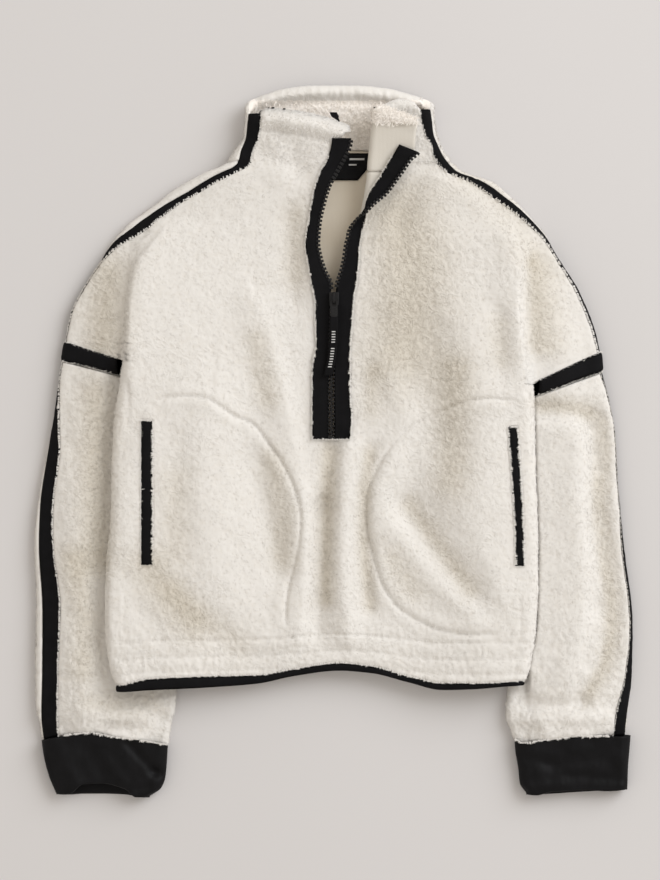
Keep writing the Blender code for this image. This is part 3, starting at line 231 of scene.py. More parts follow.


# ---------------------------------------------------------------- soft folds, and painted shade on the pile
# each: line (drawing units), reach of its flank to the right and to the left of the way it runs (mm), height (mm)
STROKES = [
    ([(256, 305), (274, 362), (287, 418), (297, 470), (303, 520), (306, 565), (301, 625)], 25, 12, 5.0),
    ([(346, 450), (343, 500), (341, 550), (344, 600), (349, 640)], 12, 17, 5.0),
    ([(330, 452), (324, 500), (321, 560), (318, 605)], 9, 9, -2.5),
    ([(372, 448), (364, 500), (364, 550), (370, 606)], 7, 8, -2.4),
    ([(386, 366), (399, 398), (403, 425), (393, 458), (382, 492), (378, 530)], 15, 19, 4.5),
    ([(440, 300), (462, 345), (477, 400), (480, 450), (478, 490)], 32, 34, 6.0),
    ([(424, 462), (440, 488), (462, 520), (484, 556), (496, 590)], 16, 24, 3.4),
    ([(392, 515), (408, 548), (432, 582), (470, 608)], 15, 13, 2.0),
    ([(212, 405), (205, 470), (209, 530), (227, 585), (262, 640)], 32, 40, 5.5),
    ([(322, 182), (309, 222), (309, 255), (314, 292)], 17, 12, 4.0),
    ([(276, 128), (291, 150), (300, 176)], 10, 12, -2.2),
    ([(262, 150), (288, 165), (318, 172)], 9, 8, -1.6),
    ([(428, 160), (412, 190), (398, 222)], 9, 11, -2.2),
    ([(118, 560), (132, 600), (160, 628)], 16, 14, -2.4),
    ([(144, 245), (135, 290), (131, 340), (130, 375)], 10, 30, 4.5),
    ([(514, 245), (518, 300), (519, 350), (524, 385)], 26, 10, 5.0),
    ([(498, 316), (502, 364)], 11, 11, -2.5),
    ([(410, 180), (392, 212), (378, 238)], 11, 14, 2.5),
    ([(440, 178), (420, 215), (400, 250), (392, 300)], 22, 30, 3.5),
    ([(150, 415), (130, 470), (124, 540), (120, 600)], 9, 14, 1.8),
    ([(180, 470), (172, 520), (176, 556)], 14, 14, -1.8),
]
SLEEVE_STROKES = [
    ([(536, 407), (578, 409), (600, 432), (600, 482), (598, 522), (607, 562), (611, 612), (603, 655), (580, 692)], 9, 15, -4.8),
    ([(540, 423), (574, 424), (585, 442), (579, 500), (587, 560), (588, 604), (582, 645), (566, 674)], 20, 7, 3.8),
    ([(628, 560), (628, 610), (624, 660), (615, 700)], 9, 12, 1.5),
    ([(530, 704), (556, 707), (580, 704)], 9, 8, -2.2),
    ([(520, 722), (560, 719), (606, 720)], 10, 10, 2.2),
    ([(104, 392), (101, 440), (96, 500), (96, 560)], 20, 18, -4.0),
    ([(68, 430), (66, 500), (70, 600), (74, 690)], 14, 24, 2.4),
    ([(90, 700), (118, 705), (150, 701)], 9, 8, -3.0),
    ([(84, 716), (112, 722), (150, 722)], 8, 9, 2.4),
    ([(104, 728), (134, 732), (162, 739)], 6, 6, -1.8),
    ([(78, 560), (88, 610), (86, 660)], 14, 14, -1.6),
]
# painted shade, darker and warmer, along the troughs and shaded zones of the pile: line, reach to either side (mm),
# strength
PAINTED_SHADE_STROKES = [
    ([(396, 215), (408, 260), (406, 310), (402, 350)], 46, 50, 0.95),
    ([(455, 370), (452, 430), (450, 480)], 22, 22, 0.75),
    ([(540, 407), (574, 409), (596, 421), (602, 446), (599, 500), (605, 560), (611, 610), (606, 660), (588, 694)], 8, 12, 0.8),
    ([(90, 702), (120, 706), (150, 702)], 14, 14, 0.55),
    ([(72, 560), (84, 610), (84, 670)], 16, 18, 0.75),
    ([(296, 215), (296, 275)], 17, 17, 0.55),
    ([(256, 340), (268, 400)], 14, 14, 0.5),
    ([(272, 460), (282, 510), (282, 560)], 15, 15, 0.6),
    ([(329, 450), (327, 520), (326, 600)], 10, 10, 0.9),
    ([(108, 275), (104, 345)], 24, 24, 0.9),
    ([(98, 395), (95, 470), (96, 560)], 22, 20, 0.9),
    ([(410, 505), (440, 548), (470, 590)], 11, 12, 0.7),
    ([(392, 560), (412, 590)], 16, 16, 0.45),
    ([(370, 452), (364, 500), (364, 550), (370, 606)], 8, 8, 0.8),
    ([(150, 566), (172, 598), (192, 622)], 24, 20, 0.75),
    ([(470, 172), (504, 202), (528, 244)], 26, 18, 0.45),
    ([(176, 590), (206, 618), (240, 644)], 17, 15, 0.4),
    ([(176, 480), (176, 550)], 18, 18, 0.45),
    ([(372, 372), (370, 410)], 10, 12, 0.5),
    ([(545, 270), (552, 345)], 18, 20, 0.5),
    ([(532, 262), (533, 300), (535, 345)], 8, 14, 0.6),
    ([(498, 325), (500, 360)], 14, 14, 0.45),
]


def bell(x, y, strokes):
    z = np.zeros(np.shape(x))
    for line, right, left, height in strokes:
        curve = smooth_line(px(line), 9.0)
        d, way = to_line(x, y, curve)
        w = np.where(d > 0, right, left)
        z = z + height * np.exp(-(d / w) ** 2)
    return z


GRID_X, GRID_Y = np.arange(-400, 401, 4.0), np.arange(-440, 441, 4.0)
_gx, _gy = np.meshgrid(GRID_X, GRID_Y)


def raster(values):
    def look(x, y):
        x, y = np.broadcast_arrays(np.asarray(x, float), np.asarray(y, float))
        u = np.clip((x - GRID_X[0]) / 4.0, 0, len(GRID_X) - 1.001)
        v = np.clip((y - GRID_Y[0]) / 4.0, 0, len(GRID_Y) - 1.001)
        i, j = v.astype(int), u.astype(int)
        f, g = v - i, u - j
        return (values[i, j] * (1 - g) + values[i, j + 1] * g) * (1 - f) + (values[i + 1, j] * (1 - g) + values[i + 1, j + 1] * g) * f
    return look


body_relief = raster(bell(_gx, _gy, STROKES))
sleeve_relief = raster(bell(_gx, _gy, SLEEVE_STROKES))
# painted shade map, 0 to 1.15: it darkens and warms the pile's colour, and also roughens its curls and adds blades
painted_shade = raster(np.clip(bell(_gx, _gy, PAINTED_SHADE_STROKES), 0, 1.15))
def along(x, y, folds):
    """Height added by a list of folds: a bell across each line, faded at its ends."""
    z = np.zeros(np.broadcast(x, y).shape)
    for x0, y0, x1, y1, half, height in folds:
        length = math.hypot(x1 - x0, y1 - y0)
        ux, uy = (x1 - x0) / length, (y1 - y0) / length
        t = (x - x0) * ux + (y - y0) * uy
        d = (y - y0) * ux - (x - x0) * uy
        past = np.maximum(np.maximum(-t, t - length), 0.0)
        r = np.hypot(d, past * 0.8) / half
        z = z + height * np.exp(-r * r)
    return z


def front_height(x, y):
    """Outer face of the front layer, body and collar."""
    x, y = np.asarray(x, float), np.asarray(y, float)
    z = CHEST + 6.0 * ramp((y - 250) / 80) + 7.0 * ramp((y - 322) / 60)
    left = SIDE_LIFT("left", y) * ramp((x - CREASE("left", y) + 5) / 10) * (1 - ramp((x + 195) / 120))
    right = SIDE_LIFT("right", y) * ramp((CREASE_R("right", y) + 5 - x) / 10) * (1 - ramp((195 - x) / 120))
    fade = ramp((y + 262) / 40)
    yy = np.maximum(y, 60.0)
    inset = np.where(x < 0, UPPER_LEFT("out", yy), UPPER_RIGHT("out", yy)) - np.abs(x)
    thin = EDGE_DROP * (1 - ramp((inset - 8) / 50)) * (1 - 0.45 * ramp((y - 285) / 40))
    return z + left + right + (along(x, y, FOLDS) + body_relief(x, y)) * fade - thin


def back_height(x, y):
    """Outer face of the back layer: on the surface, but over the sleeves at the sides."""
    x, y = np.asarray(x, float), np.asarray(y, float)
    low = ramp((x + 264) / 20) * (1 - ramp((x + SLEEVE["left"]("inn", y) - 3) / 26)) * \
        (1 - ramp((y - ARM_LEFT("top", x) - 2) / 34))
    high = ramp((258 - x) / 20) * (1 - ramp((SLEEVE["right"]("inn", y) - 3 - x) / 26)) * \
        (1 - ramp((y - ARM_RIGHT("top", x) - 2) / 34))
    below = np.where(y < ARM_LEFT("low", x), 1.0, low > 0)
    z = OVER_SLEEVE * np.where(x < 0, np.maximum(low, 0) * below, high)
    z = np.where((x < -244) & (y < 90), OVER_SLEEVE, z)
    z = np.where((x > 238) & (y < 64), OVER_SLEEVE, z)
    return z + 12.0 * ramp((y - 332) / 78) * (np.abs(x) < 400)


def fold(s):
    """Section coordinate s (along the cloth from the silhouette, + on top) to inset and lift."""
    a = np.clip(np.abs(s) / FOLD_L, 0, 1) * math.pi / 2
    return FOLD_R * (1 - np.cos(a)) + np.maximum(np.abs(s) - FOLD_L, 0), np.sin(a)


def unfold(inset):
    """Section coordinate of a point on top that lies this far in from the silhouette."""
    inset = np.asarray(inset, float)
    near = np.arccos(np.clip(1 - inset / FOLD_R, -1, 1)) / (math.pi / 2) * FOLD_L
    return np.where(inset < FOLD_R, near, inset - FOLD_R + FOLD_L)
BAG = {
    "left": Table("y reach", [(-217, 55), (-193, 55), (-169, 53), (-140, 45), (-107, 39), (-72, 39), (-44, 51), (-5, 75), (20, 93), (26, 113), (48, 152)]),
    "right": Table("y reach", [(-219, 108), (-208, 95), (-189, 71), (-160, 52), (-121, 41), (-72, 37), (-39, 47), (-5, 66), (20, 98), (41, 139), (47, 165)]),
}
CUFF_LINE = {
    "left": Table("x y", [(-345, -346), (-337, -345), (-326, -342), (-309, -339.5), (-279, -336.5), (-256, -341), (-221, -345), (-185, -352)]),
    "right": Table("x y", [(195, -343), (208, -344.5), (216, -348), (247, -344), (278, -340.5), (320, -340), (346, -339)]),
}
CUFF = {
    "left": Table("y out inn", [(-341, 337.5, 190.5), (-361, 335, 191.5), (-388, 328, 194), (-400, 323, 199), (-409, 319, 212)]),
    "right": Table("y out inn", [(-339, 342, 207.5), (-352, 341, 208), (-378, 339, 212), (-395, 338.5, 214), (-405, 338, 221)]),
}
CUFF_END = {
    "left": Table("x low mouth", [(-340, -407, 0), (-305, -408, 1), (-288, -407, 12), (-268, -407, 13), (-241, -408, 7), (-228, -410, 0), (-190, -411, 0)]),
    "right": Table("x low mouth", [(205, -405, 0), (232, -408, 0), (253, -407, 3), (283, -405, 3), (320, -403, 0), (345, -401, 0)]),
}


# ---------------------------------------------------------------- the cloth's form
def body_out(side, y, upper):
    out = (UPPER_LEFT if side == "left" else UPPER_RIGHT)("out", y)
    return np.where(upper, out, np.abs(SIDE(side, y)))


def stack(x, y, z):
    return np.stack(np.broadcast_arrays(x, y, z), -1)


def body_place(side, y, s, upper):
    """Point of the body's outer face at height y and section coordinate s (0 on the silhouette, + on top)."""
    sign = -1 if side == "left" else 1
    inset, lift = fold(s)
    out = body_out(side, y, upper)
    x = sign * (out - inset)
    edge = sign * (out - FOLD_R)
    top, low = front_height(edge, y), back_height(edge, y)
    mid = (top + low) / 2
    face = np.where(s >= 0, front_height(x, y), back_height(x, y))
    return stack(x, y, mid + (face - mid) * lift)


def sleeve_height(side, x, y):
    t = SLEEVE[side]
    u = np.abs(x)
    rise = 27.0 if side == "left" else 5.5              # the right sleeve stands up close beside the body
    under = ramp((t("body", y) + (rise if side == "left" else 2.0) - u) / (rise - 2 if side == "left" else rise)) * ramp((y + 312) / 27)
    z = SLEEVE_TOP + along(x, y, SLEEVE_FOLDS[side]) + sleeve_relief(x, y) - 3.0 * ramp((-310 - y) / 30)
    z = z - EDGE_DROP * (1 - ramp((t("out", y) - u - 8) / 50))
    z = z - 8.0 * (1 - ramp((u - t("inn", y) - 8) / 34)) * ramp((-y - 262) / 30)
    deep = np.maximum(13.0 - z, 0.0)                     # the deepest folds flatten out over the sleeve's back
    z = np.where(z < 13.0, 13.0 - 4.0 * (1 - np.exp(-deep / 4.0)), z)
    return z + (SLEEVE_UNDER - z) * under


def sleeve_span(side, y):
    """Section coordinate of a sleeve's inner edge."""
    return SLEEVE[side]("out", y) - SLEEVE[side]("inn", y) + 10.0


def sleeve_place(side, y, s):
    """Point of a sleeve at section coordinate s: + on top, - below, round both its edges."""
    sign = -1 if side == "left" else 1
    t = SLEEVE[side]
    a = np.abs(s)
    left = np.maximum(sleeve_span(side, y) - a, 0.0)
    near = left < 18.0
    inset_o, lift_o = fold(a)
    inset_i, lift_i = fold(left * 1.5)
    u = np.where(near, t("inn", y) + inset_i / 1.5, t("out", y) - inset_o)
    edge = sign * np.where(near, t("inn", y) + FOLD_R / 1.5, t("out", y) - FOLD_R)
    lift = np.where(near, lift_i, lift_o)
    mid = sleeve_height(side, edge, y) / 2
    face = np.where(s >= 0, sleeve_height(side, sign * u, y), 0.0)
    return stack(sign * u, y, mid + (face - mid) * lift)


ROW_L = np.array([p[0] for p in BODY_ROWS], float)
ROW_R = np.array([p[1] for p in BODY_ROWS], float)


def levels(step, stops=()):
    """Dense rows between the body rows: row numbers with fractions."""
    v = []
    for i in range(len(BODY_ROWS) - 1):
        n = max(1, int(round(max(ROW_L[i + 1] - ROW_L[i], ROW_R[i + 1] - ROW_R[i]) / step)))
        v += [i + k / n for k in range(n)]
    return np.array(v + [len(BODY_ROWS) - 1.0])


def row_y(v, x, neck):
    idx = np.arange(len(BODY_ROWS))
    a, b = np.interp(v, idx, ROW_L), np.interp(v, idx, ROW_R)
    y = a + (b - a) * ramp((x + 230) / 460)
    y = y + (HEM("up", x) + 272) * (1 - ramp((a + 272) / 80))
    return y + neck * (1 - ramp((np.abs(x - 3) - 30) / 70)) * ramp((a - 268) / 54)


def half_grid(side, v, t, start, end, neck, top=1):
    """One side of the front or back: rows v, columns at fractions t from the seam to the inner end."""
    sign = -1 if side == "left" else 1
    v = np.asarray(v)[:, None]
    t = np.asarray(t)[None, :]
    upper = v >= ARM_ROW - 1e-6
    y = np.broadcast_to(np.interp(v, np.arange(len(BODY_ROWS)), ROW_L if side == "left" else ROW_R), (v.shape[0], t.shape[1])).copy()
    for _ in range(14):
        s0 = start(y, upper)
        s1 = body_out(side, y, upper) - sign * end(y) - FOLD_R + FOLD_L
        s = s0 * top + (s1 - s0 * top) * t
        inset, _ = fold(s)
        x = sign * (body_out(side, y, upper) - inset)
        y = 0.5 * y + 0.5 * row_y(v, x, neck)
    return y, s * top, upper


def slit_end(side, y):
    if side == "left":
        return ZIP_LEFT("outer", y) + PANEL_UNDER_TAPE
    return np.where(y <= 238, ZIP_RIGHT_LOW("outer", y) - PANEL_UNDER_TAPE, LAPEL("line", y))


def front_start(side):
    tape = UPPER_LEFT if side == "left" else UPPER_RIGHT

    def start(y, upper):
        border = np.abs(ARM_EDGE("left", y) if side == "left" else ARM_EDGE_R("right", y))
        inset = body_out(side, y, upper) - border
        s_arm = np.where(y > (116 if side == "left" else 103), 0.0, unfold(np.maximum(inset, 0.0)))
        s_up = np.maximum(s_arm, tape("tape_in", y) + SEAM)
        return np.where(upper, s_up, SIDE_SEAM)
    return start


def back_start(side):
    tape = UPPER_LEFT if side == "left" else UPPER_RIGHT

    def start(y, upper):
        border = np.abs(ARM_EDGE("left", y) if side == "left" else ARM_EDGE_R("right", y))
        inset = np.maximum(body_out(side, y, upper) - border, 0.0)
        s_arm = np.where(y > (116 if side == "left" else 103), 999.0, -unfold(inset))
        s_up = np.minimum(s_arm, tape("tape_out", y) - SEAM)
        return np.where(upper, s_up, -SIDE_SEAM)
    return start


# ---------------------------------------------------------------- noise
def lattice(ix, iy, iz, seed):
    h = (ix * 374761393 + iy * 668265263 + iz * 1440662683 + seed * 974634777) & 0xffffffff
    h = ((h ^ (h >> 13)) * 1274126177) & 0xffffffff
    h = ((h ^ (h >> 16)) * 2246822519) & 0xffffffff
    return h ^ (h >> 15)


def noise(p, size, seed=0):
    """Gradient noise, about -1 to 1, with bumps about this size (mm)."""
    q = np.asarray(p, float).reshape(-1, 3) / size + seed * 7.31
    i = np.floor(q).astype(np.int64)
    f = q - i
    w = f * f * f * (f * (f * 6 - 15) + 10)
    total = np.zeros(len(q))
    for dx in (0, 1):
        for dy in (0, 1):
            for dz in (0, 1):
                h = lattice(i[:, 0] + dx, i[:, 1] + dy, i[:, 2] + dz, seed)
                g = np.stack([(h & 1023), ((h >> 10) & 1023), ((h >> 20) & 1023)], -1) / 511.5 - 1
                d = f - (dx, dy, dz)
                k = np.where(dx, w[:, 0], 1 - w[:, 0]) * np.where(dy, w[:, 1], 1 - w[:, 1]) * np.where(dz, w[:, 2], 1 - w[:, 2])
                total += k * (g * d).sum(1)
    return (total * 1.35).reshape(np.shape(p)[:-1])


def curls(p, size, seed=3):
    """Meandering ridges, 0 to 1, such as the curls of the pile."""
    warp = stack(noise(p, size * 1.7, seed), noise(p, size * 1.7, seed + 1), noise(p, size * 1.7, seed + 2)) * size * 0.7
    return 1 - np.clip(np.abs(noise(p + warp, size, seed + 3)) * 3.2, 0, 1)


# ---------------------------------------------------------------- shells
class Skin:
    """An open surface of one or more grids of points, made into a closed shell with rounded edges."""

    def __init__(self):
        self.points, self.grids, self.count = [], [], 0

    def add(self, pts, mask=None, coarse=(1, 1), join=None):
        """pts: rows x columns x 3.  join: (column, indices) of points shared with an earlier grid."""
        r, c = pts.shape[:2]
        idx = np.arange(r * c).reshape(r, c) + self.count
        self.points.append(pts.reshape(-1, 3))
        self.count += r * c
        if join is not None:
            idx[:, join[0]] = join[1]
        self.grids.append((idx, np.ones((r - 1, c - 1), bool) if mask is None else mask, coarse))
        return idx

    def solve(self, up=1):
        self.P = np.vstack(self.points)
        quads, inner = [], []
        for idx, mask, _ in self.grids:
            q = np.stack([idx[:-1, :-1], idx[:-1, 1:], idx[1:, 1:], idx[1:, :-1]], -1)[mask]
            quads.append(q)
        self.quads = np.vstack(quads)
        d1 = self.P[self.quads[:, 2]] - self.P[self.quads[:, 0]]
        d2 = self.P[self.quads[:, 3]] - self.P[self.quads[:, 1]]
        n = np.cross(d1, d2)
        self.flip = (n[:, 2].sum() * up) < 0
        if self.flip:
            n, self.quads = -n, self.quads[:, ::-1]
        self.area = 0.5 * np.linalg.norm(n, axis=1).sum()
        self.N = np.zeros_like(self.P)
        for k in range(4):
            np.add.at(self.N, self.quads[:, k], n)
        size = np.linalg.norm(self.N, axis=1)
        self.used = size > 0
        self.N[self.used] /= size[self.used, None]
        edges = np.vstack([self.quads[:, [k, (k + 1) % 4]] for k in range(4)])
        key = np.sort(edges, 1)
        _, first, counts = np.unique(key[:, 0].astype(np.int64) * (self.count + 1) + key[:, 1], return_index=True, return_counts=True)
        self.border = np.zeros(self.count, bool)
        self.border_edges = edges[first[counts == 1]]
        self.border[self.border_edges.ravel()] = True
        # way out of the cloth at each border point, and the distance of each point from the nearest one
        tangent = np.zeros_like(self.P)
        for a, b in self.border_edges:
            t = self.P[b] - self.P[a]
            tangent[a] += t
            tangent[b] += t
        out = np.cross(tangent, self.N)
        length = np.linalg.norm(out, axis=1)
        ok = self.border & (length > 0)
        self.out = np.zeros_like(self.P)
        self.out[ok] = out[ok] / length[ok, None]
        ids = np.flatnonzero(self.border)
        tree = kdtree.KDTree(len(ids))
        for k, i in enumerate(ids):
            tree.insert(self.P[i], k)
        tree.balance()
        self.away = np.full(self.count, 99.0)
        self.nearest = np.zeros(self.count, int)
        for i in np.flatnonzero(self.used):
            _, k, d = tree.find(self.P[i])
            self.away[i], self.nearest[i] = d, ids[k]
        return self

    def build(self, wall, lift, under=0.0, radius=2.5, reach=0.0, ground=0.12, flush=None):
        """wall: cloth's thickness; lift: pile over the outer face; radius of the rounded edge and how far the
        edge reaches past the seam, each a number or an array for the border points; flush: border points
        that stay level with the outer face, where the pile of two pieces runs on over their seam."""
        c = self.count
        lift = np.broadcast_to(lift, c)
        under = np.broadcast_to(under, c)
        radius = np.broadcast_to(radius, c)[self.nearest]
        reach = np.broadcast_to(reach, c)
        if wall > 3:
            under = np.maximum(under, 2.4 - wall - lift)       # deep creases keep the cloth's other face below them
        share = np.sqrt(np.clip(1 - (1 - np.minimum(self.away / np.maximum(radius, 1e-6), 1)) ** 2, 0, 1))
        half = wall / 2.0
        mid = self.P - self.N * half
        outer = mid + self.N * ((half + lift) * share)[:, None]
        inner = mid - self.N * ((half + under) * share)[:, None]
        b = self.border
        outer[b] = mid[b] + self.out[b] * reach[b, None]
        if flush is not None:
            e = b & flush
            outer[e] = self.P[e] + self.N[e] * lift[e, None] + self.out[e] * reach[e, None]
        outer[:, 2] = np.maximum(outer[:, 2], ground)
        keep = self.border.copy()
        plans = []
        for idx, mask, (cr, cc) in self.grids:
            r, k = idx.shape
            rows = sorted(set(range(0, r, cr)) | {r - 1})
            cols = sorted(set(range(0, k, cc)) | {k - 1})
            cells = []
            for a, i0 in enumerate(rows[:-1]):
                for e, j0 in enumerate(cols[:-1]):
                    i1, j1 = rows[a + 1], cols[e + 1]
                    part = mask[i0:i1, j0:j1]
                    if not part.any():
                        continue
                    full = bool(part.all())
                    if full:
                        keep[[idx[i0, j0], idx[i0, j1], idx[i1, j0], idx[i1, j1]]] = True
                    else:
                        for i in range(i0, i1):
                            for j in range(j0, j1):
                                if mask[i, j]:
                                    keep[idx[i:i + 2, j:j + 2].ravel()] = True
                    cells.append((i0, i1, j0, j1, full))
            plans.append((idx, mask, cells))
        twin = np.arange(c)
        extra = np.flatnonzero(keep & ~b & self.used)
        twin[extra] = c + np.arange(len(extra))
        verts = np.vstack([outer, inner[extra]])
        verts[:, 2] = np.maximum(verts[:, 2], ground)
        faces = self.quads.tolist()
        n_outer = len(faces)
        for idx, mask, cells in plans:
            for i0, i1, j0, j1, full in cells:
                if full:
                    ring = list(idx[i0, j0:j1]) + list(idx[i0:i1, j1]) + list(idx[i1, j1:j0:-1]) + list(idx[i1:i0:-1, j0])
                    rings = [[q for q in ring if keep[q]]]
                else:
                    rings = [[idx[i, j], idx[i, j + 1], idx[i + 1, j + 1], idx[i + 1, j]]
                             for i in range(i0, i1) for j in range(j0, j1) if mask[i, j]]
                for ring in rings:
                    ring = [int(twin[q]) for q in ring]
                    faces.append(ring if self.flip else ring[::-1])
        used = np.zeros(len(verts), bool)
        for f in faces:
            used[f] = True
        number = np.cumsum(used) - 1
        self.verts = verts[used]
        self.faces = [[int(number[q]) for q in f] for f in faces]
        self.n_outer = n_outer
        self.outer_now, self.inner_now = outer, inner
        self.level = np.zeros(len(self.verts), bool)       # points of the border that lie level with the outer face
        if flush is not None:
            e = np.flatnonzero(b & flush)
            self.level[number[e[used[e]]]] = True
        return self


# ---------------------------------------------------------------- materials
def node_material(name):
    m = bpy.data.materials.new(name)
    m.use_nodes = True
    t = m.node_tree
    t.nodes.clear()
    out = t.nodes.new("ShaderNodeOutputMaterial")
    b = t.nodes.new("ShaderNodeBsdfPrincipled")
    t.links.new(b.outputs[0], out.inputs["Surface"])
    place = t.nodes.new("ShaderNodeTexCoord")

    def node(kind, **values):
        n = t.nodes.new(kind)
        for k, v in values.items():
            if hasattr(n, k):
                setattr(n, k, v)
            else:
                n.inputs[k.replace("_", " ")].default_value = v
        return n

    def link(a, b_):
        t.links.new(a, b_)
    return m, t, b, place, node, link


def ramp_node(node, stops):
    r = node("ShaderNodeValToRGB")
    e = r.color_ramp.elements
    while len(e) > 1:
        e.remove(e[-1])
    e[0].position, e[0].color = stops[0][0], (*stops[0][1], 1)
    for pos, col in stops[1:]:
        x = e.new(pos)
        x.color = (*col, 1)
    return r


def make_pile(name, light, dark, bump=0.0011, scale=125.0, rough=0.95, sheen=0.2, soft=0.0):
    """Curly pile: meandering ridges at two sizes as bumps; its colour has painted shade in the valleys between the
    curls, and painted shade from the painted_shade attribute.
    """
    m, t, b, place, node, link = node_material(name)
    warp = node("ShaderNodeTexNoise", Scale=scale * 0.42, Detail=2.0)
    link(place.outputs["Object"], warp.inputs["Vector"])
    shift = node("ShaderNodeVectorMath", operation="SUBTRACT")
    link(warp.outputs["Color"], shift.inputs[0])
    shift.inputs[1].default_value = (0.5, 0.5, 0.5)
    scaled = node("ShaderNodeVectorMath", operation="SCALE")
    link(shift.outputs[0], scaled.inputs[0])
    scaled.inputs["Scale"].default_value = 1.5 / scale
    moved = node("ShaderNodeVectorMath", operation="ADD")
    link(place.outputs["Object"], moved.inputs[0])
    link(scaled.outputs[0], moved.inputs[1])

    def ridge(size, detail, sharp):
        n = node("ShaderNodeTexNoise", Scale=size, Detail=detail, Roughness=0.55)
        link(moved.outputs[0], n.inputs["Vector"])
        a = node("ShaderNodeMath", operation="SUBTRACT")
        link(n.outputs["Fac"], a.inputs[0])
        a.inputs[1].default_value = 0.5
        c = node("ShaderNodeMath", operation="ABSOLUTE")
        link(a.outputs[0], c.inputs[0])
        d = node("ShaderNodeMath", operation="MULTIPLY_ADD")
        link(c.outputs[0], d.inputs[0])
        d.inputs[1].default_value = -sharp
        d.inputs[2].default_value = 1.0
        e = node("ShaderNodeClamp")
        link(d.outputs[0], e.inputs[0])
        return e.outputs[0]
    big, small = ridge(scale, 1.5, 4.0), ridge(scale * 2.1, 2.0, 4.0)
    mix = node("ShaderNodeMath", operation="MULTIPLY_ADD")
    link(small, mix.inputs[0])
    mix.inputs[1].default_value = 0.3
    link(big, mix.inputs[2])
    # the pile is brushed smooth in patches and stands in curls in others
    patch = node("ShaderNodeTexNoise", Scale=17.0, Detail=2.0)
    link(place.outputs["Object"], patch.inputs["Vector"])
    amount = node("ShaderNodeMapRange")
    link(patch.outputs["Fac"], amount.inputs["Value"])
    amount.inputs["From Min"].default_value = 0.36
    amount.inputs["From Max"].default_value = 0.64
    amount.inputs["To Min"].default_value = 0.2
    amount.inputs["To Max"].default_value = 0.85
    # the painted shade attribute: it strengthens the bump and darkens and warms the colour
    lay = node("ShaderNodeAttribute", attribute_name="painted_shade")
    shown = node("ShaderNodeMath", operation="ADD")
    link(amount.outputs[0], shown.inputs[0])
    link(lay.outputs["Fac"], shown.inputs[1])
    height = node("ShaderNodeMath", operation="MULTIPLY")
    link(mix.outputs[0], height.inputs[0])
    link(shown.outputs[0], height.inputs[1])
    bumper = node("ShaderNodeBump", Strength=1.0, Distance=bump)
    link(height.outputs[0], bumper.inputs["Height"])
    link(bumper.outputs[0], b.inputs["Normal"])
    # colour: a random broad tone, plus painted shade that darkens and warms the valleys between the curls
    wide = node("ShaderNodeTexNoise", Scale=26.0, Detail=3.0)
    link(place.outputs["Object"], wide.inputs["Vector"])
    tone = node("ShaderNodeMath", operation="MULTIPLY_ADD")
    link(wide.outputs["Fac"], tone.inputs[0])
    tone.inputs[1].default_value = 0.5
    half = node("ShaderNodeMath", operation="MULTIPLY")
    link(mix.outputs[0], half.inputs[0])
    half.inputs[1].default_value = 0.42
    link(half.outputs[0], tone.inputs[2])
    r = ramp_node(node, [(0.25, dark), (0.75, light)])
    link(tone.outputs[0], r.inputs[0])
    # painted shade: the colour multiplied towards a darker, warmer cream by the painted shade attribute
    deep = node("ShaderNodeMix", data_type="RGBA", blend_type="MULTIPLY")
    link(lay.outputs["Fac"], deep.inputs[0])
    link(r.outputs[0], deep.inputs[6])
    deep.inputs[7].default_value = (0.82, 0.785, 0.715, 1)
    link(deep.outputs[2], b.inputs["Base Color"])
    if soft:
        b.subsurface_method = "RANDOM_WALK"
        b.inputs["Subsurface Weight"].default_value = soft
        b.inputs["Subsurface Radius"].default_value = (1.0, 0.86, 0.68)
        b.inputs["Subsurface Scale"].default_value = 0.0022
    b.inputs["Roughness"].default_value = rough
    b.inputs["Sheen Weight"].default_value = sheen
    b.inputs["Sheen Roughness"].default_value = 0.6
    b.inputs["Specular IOR Level"].default_value = 0.15
    return m


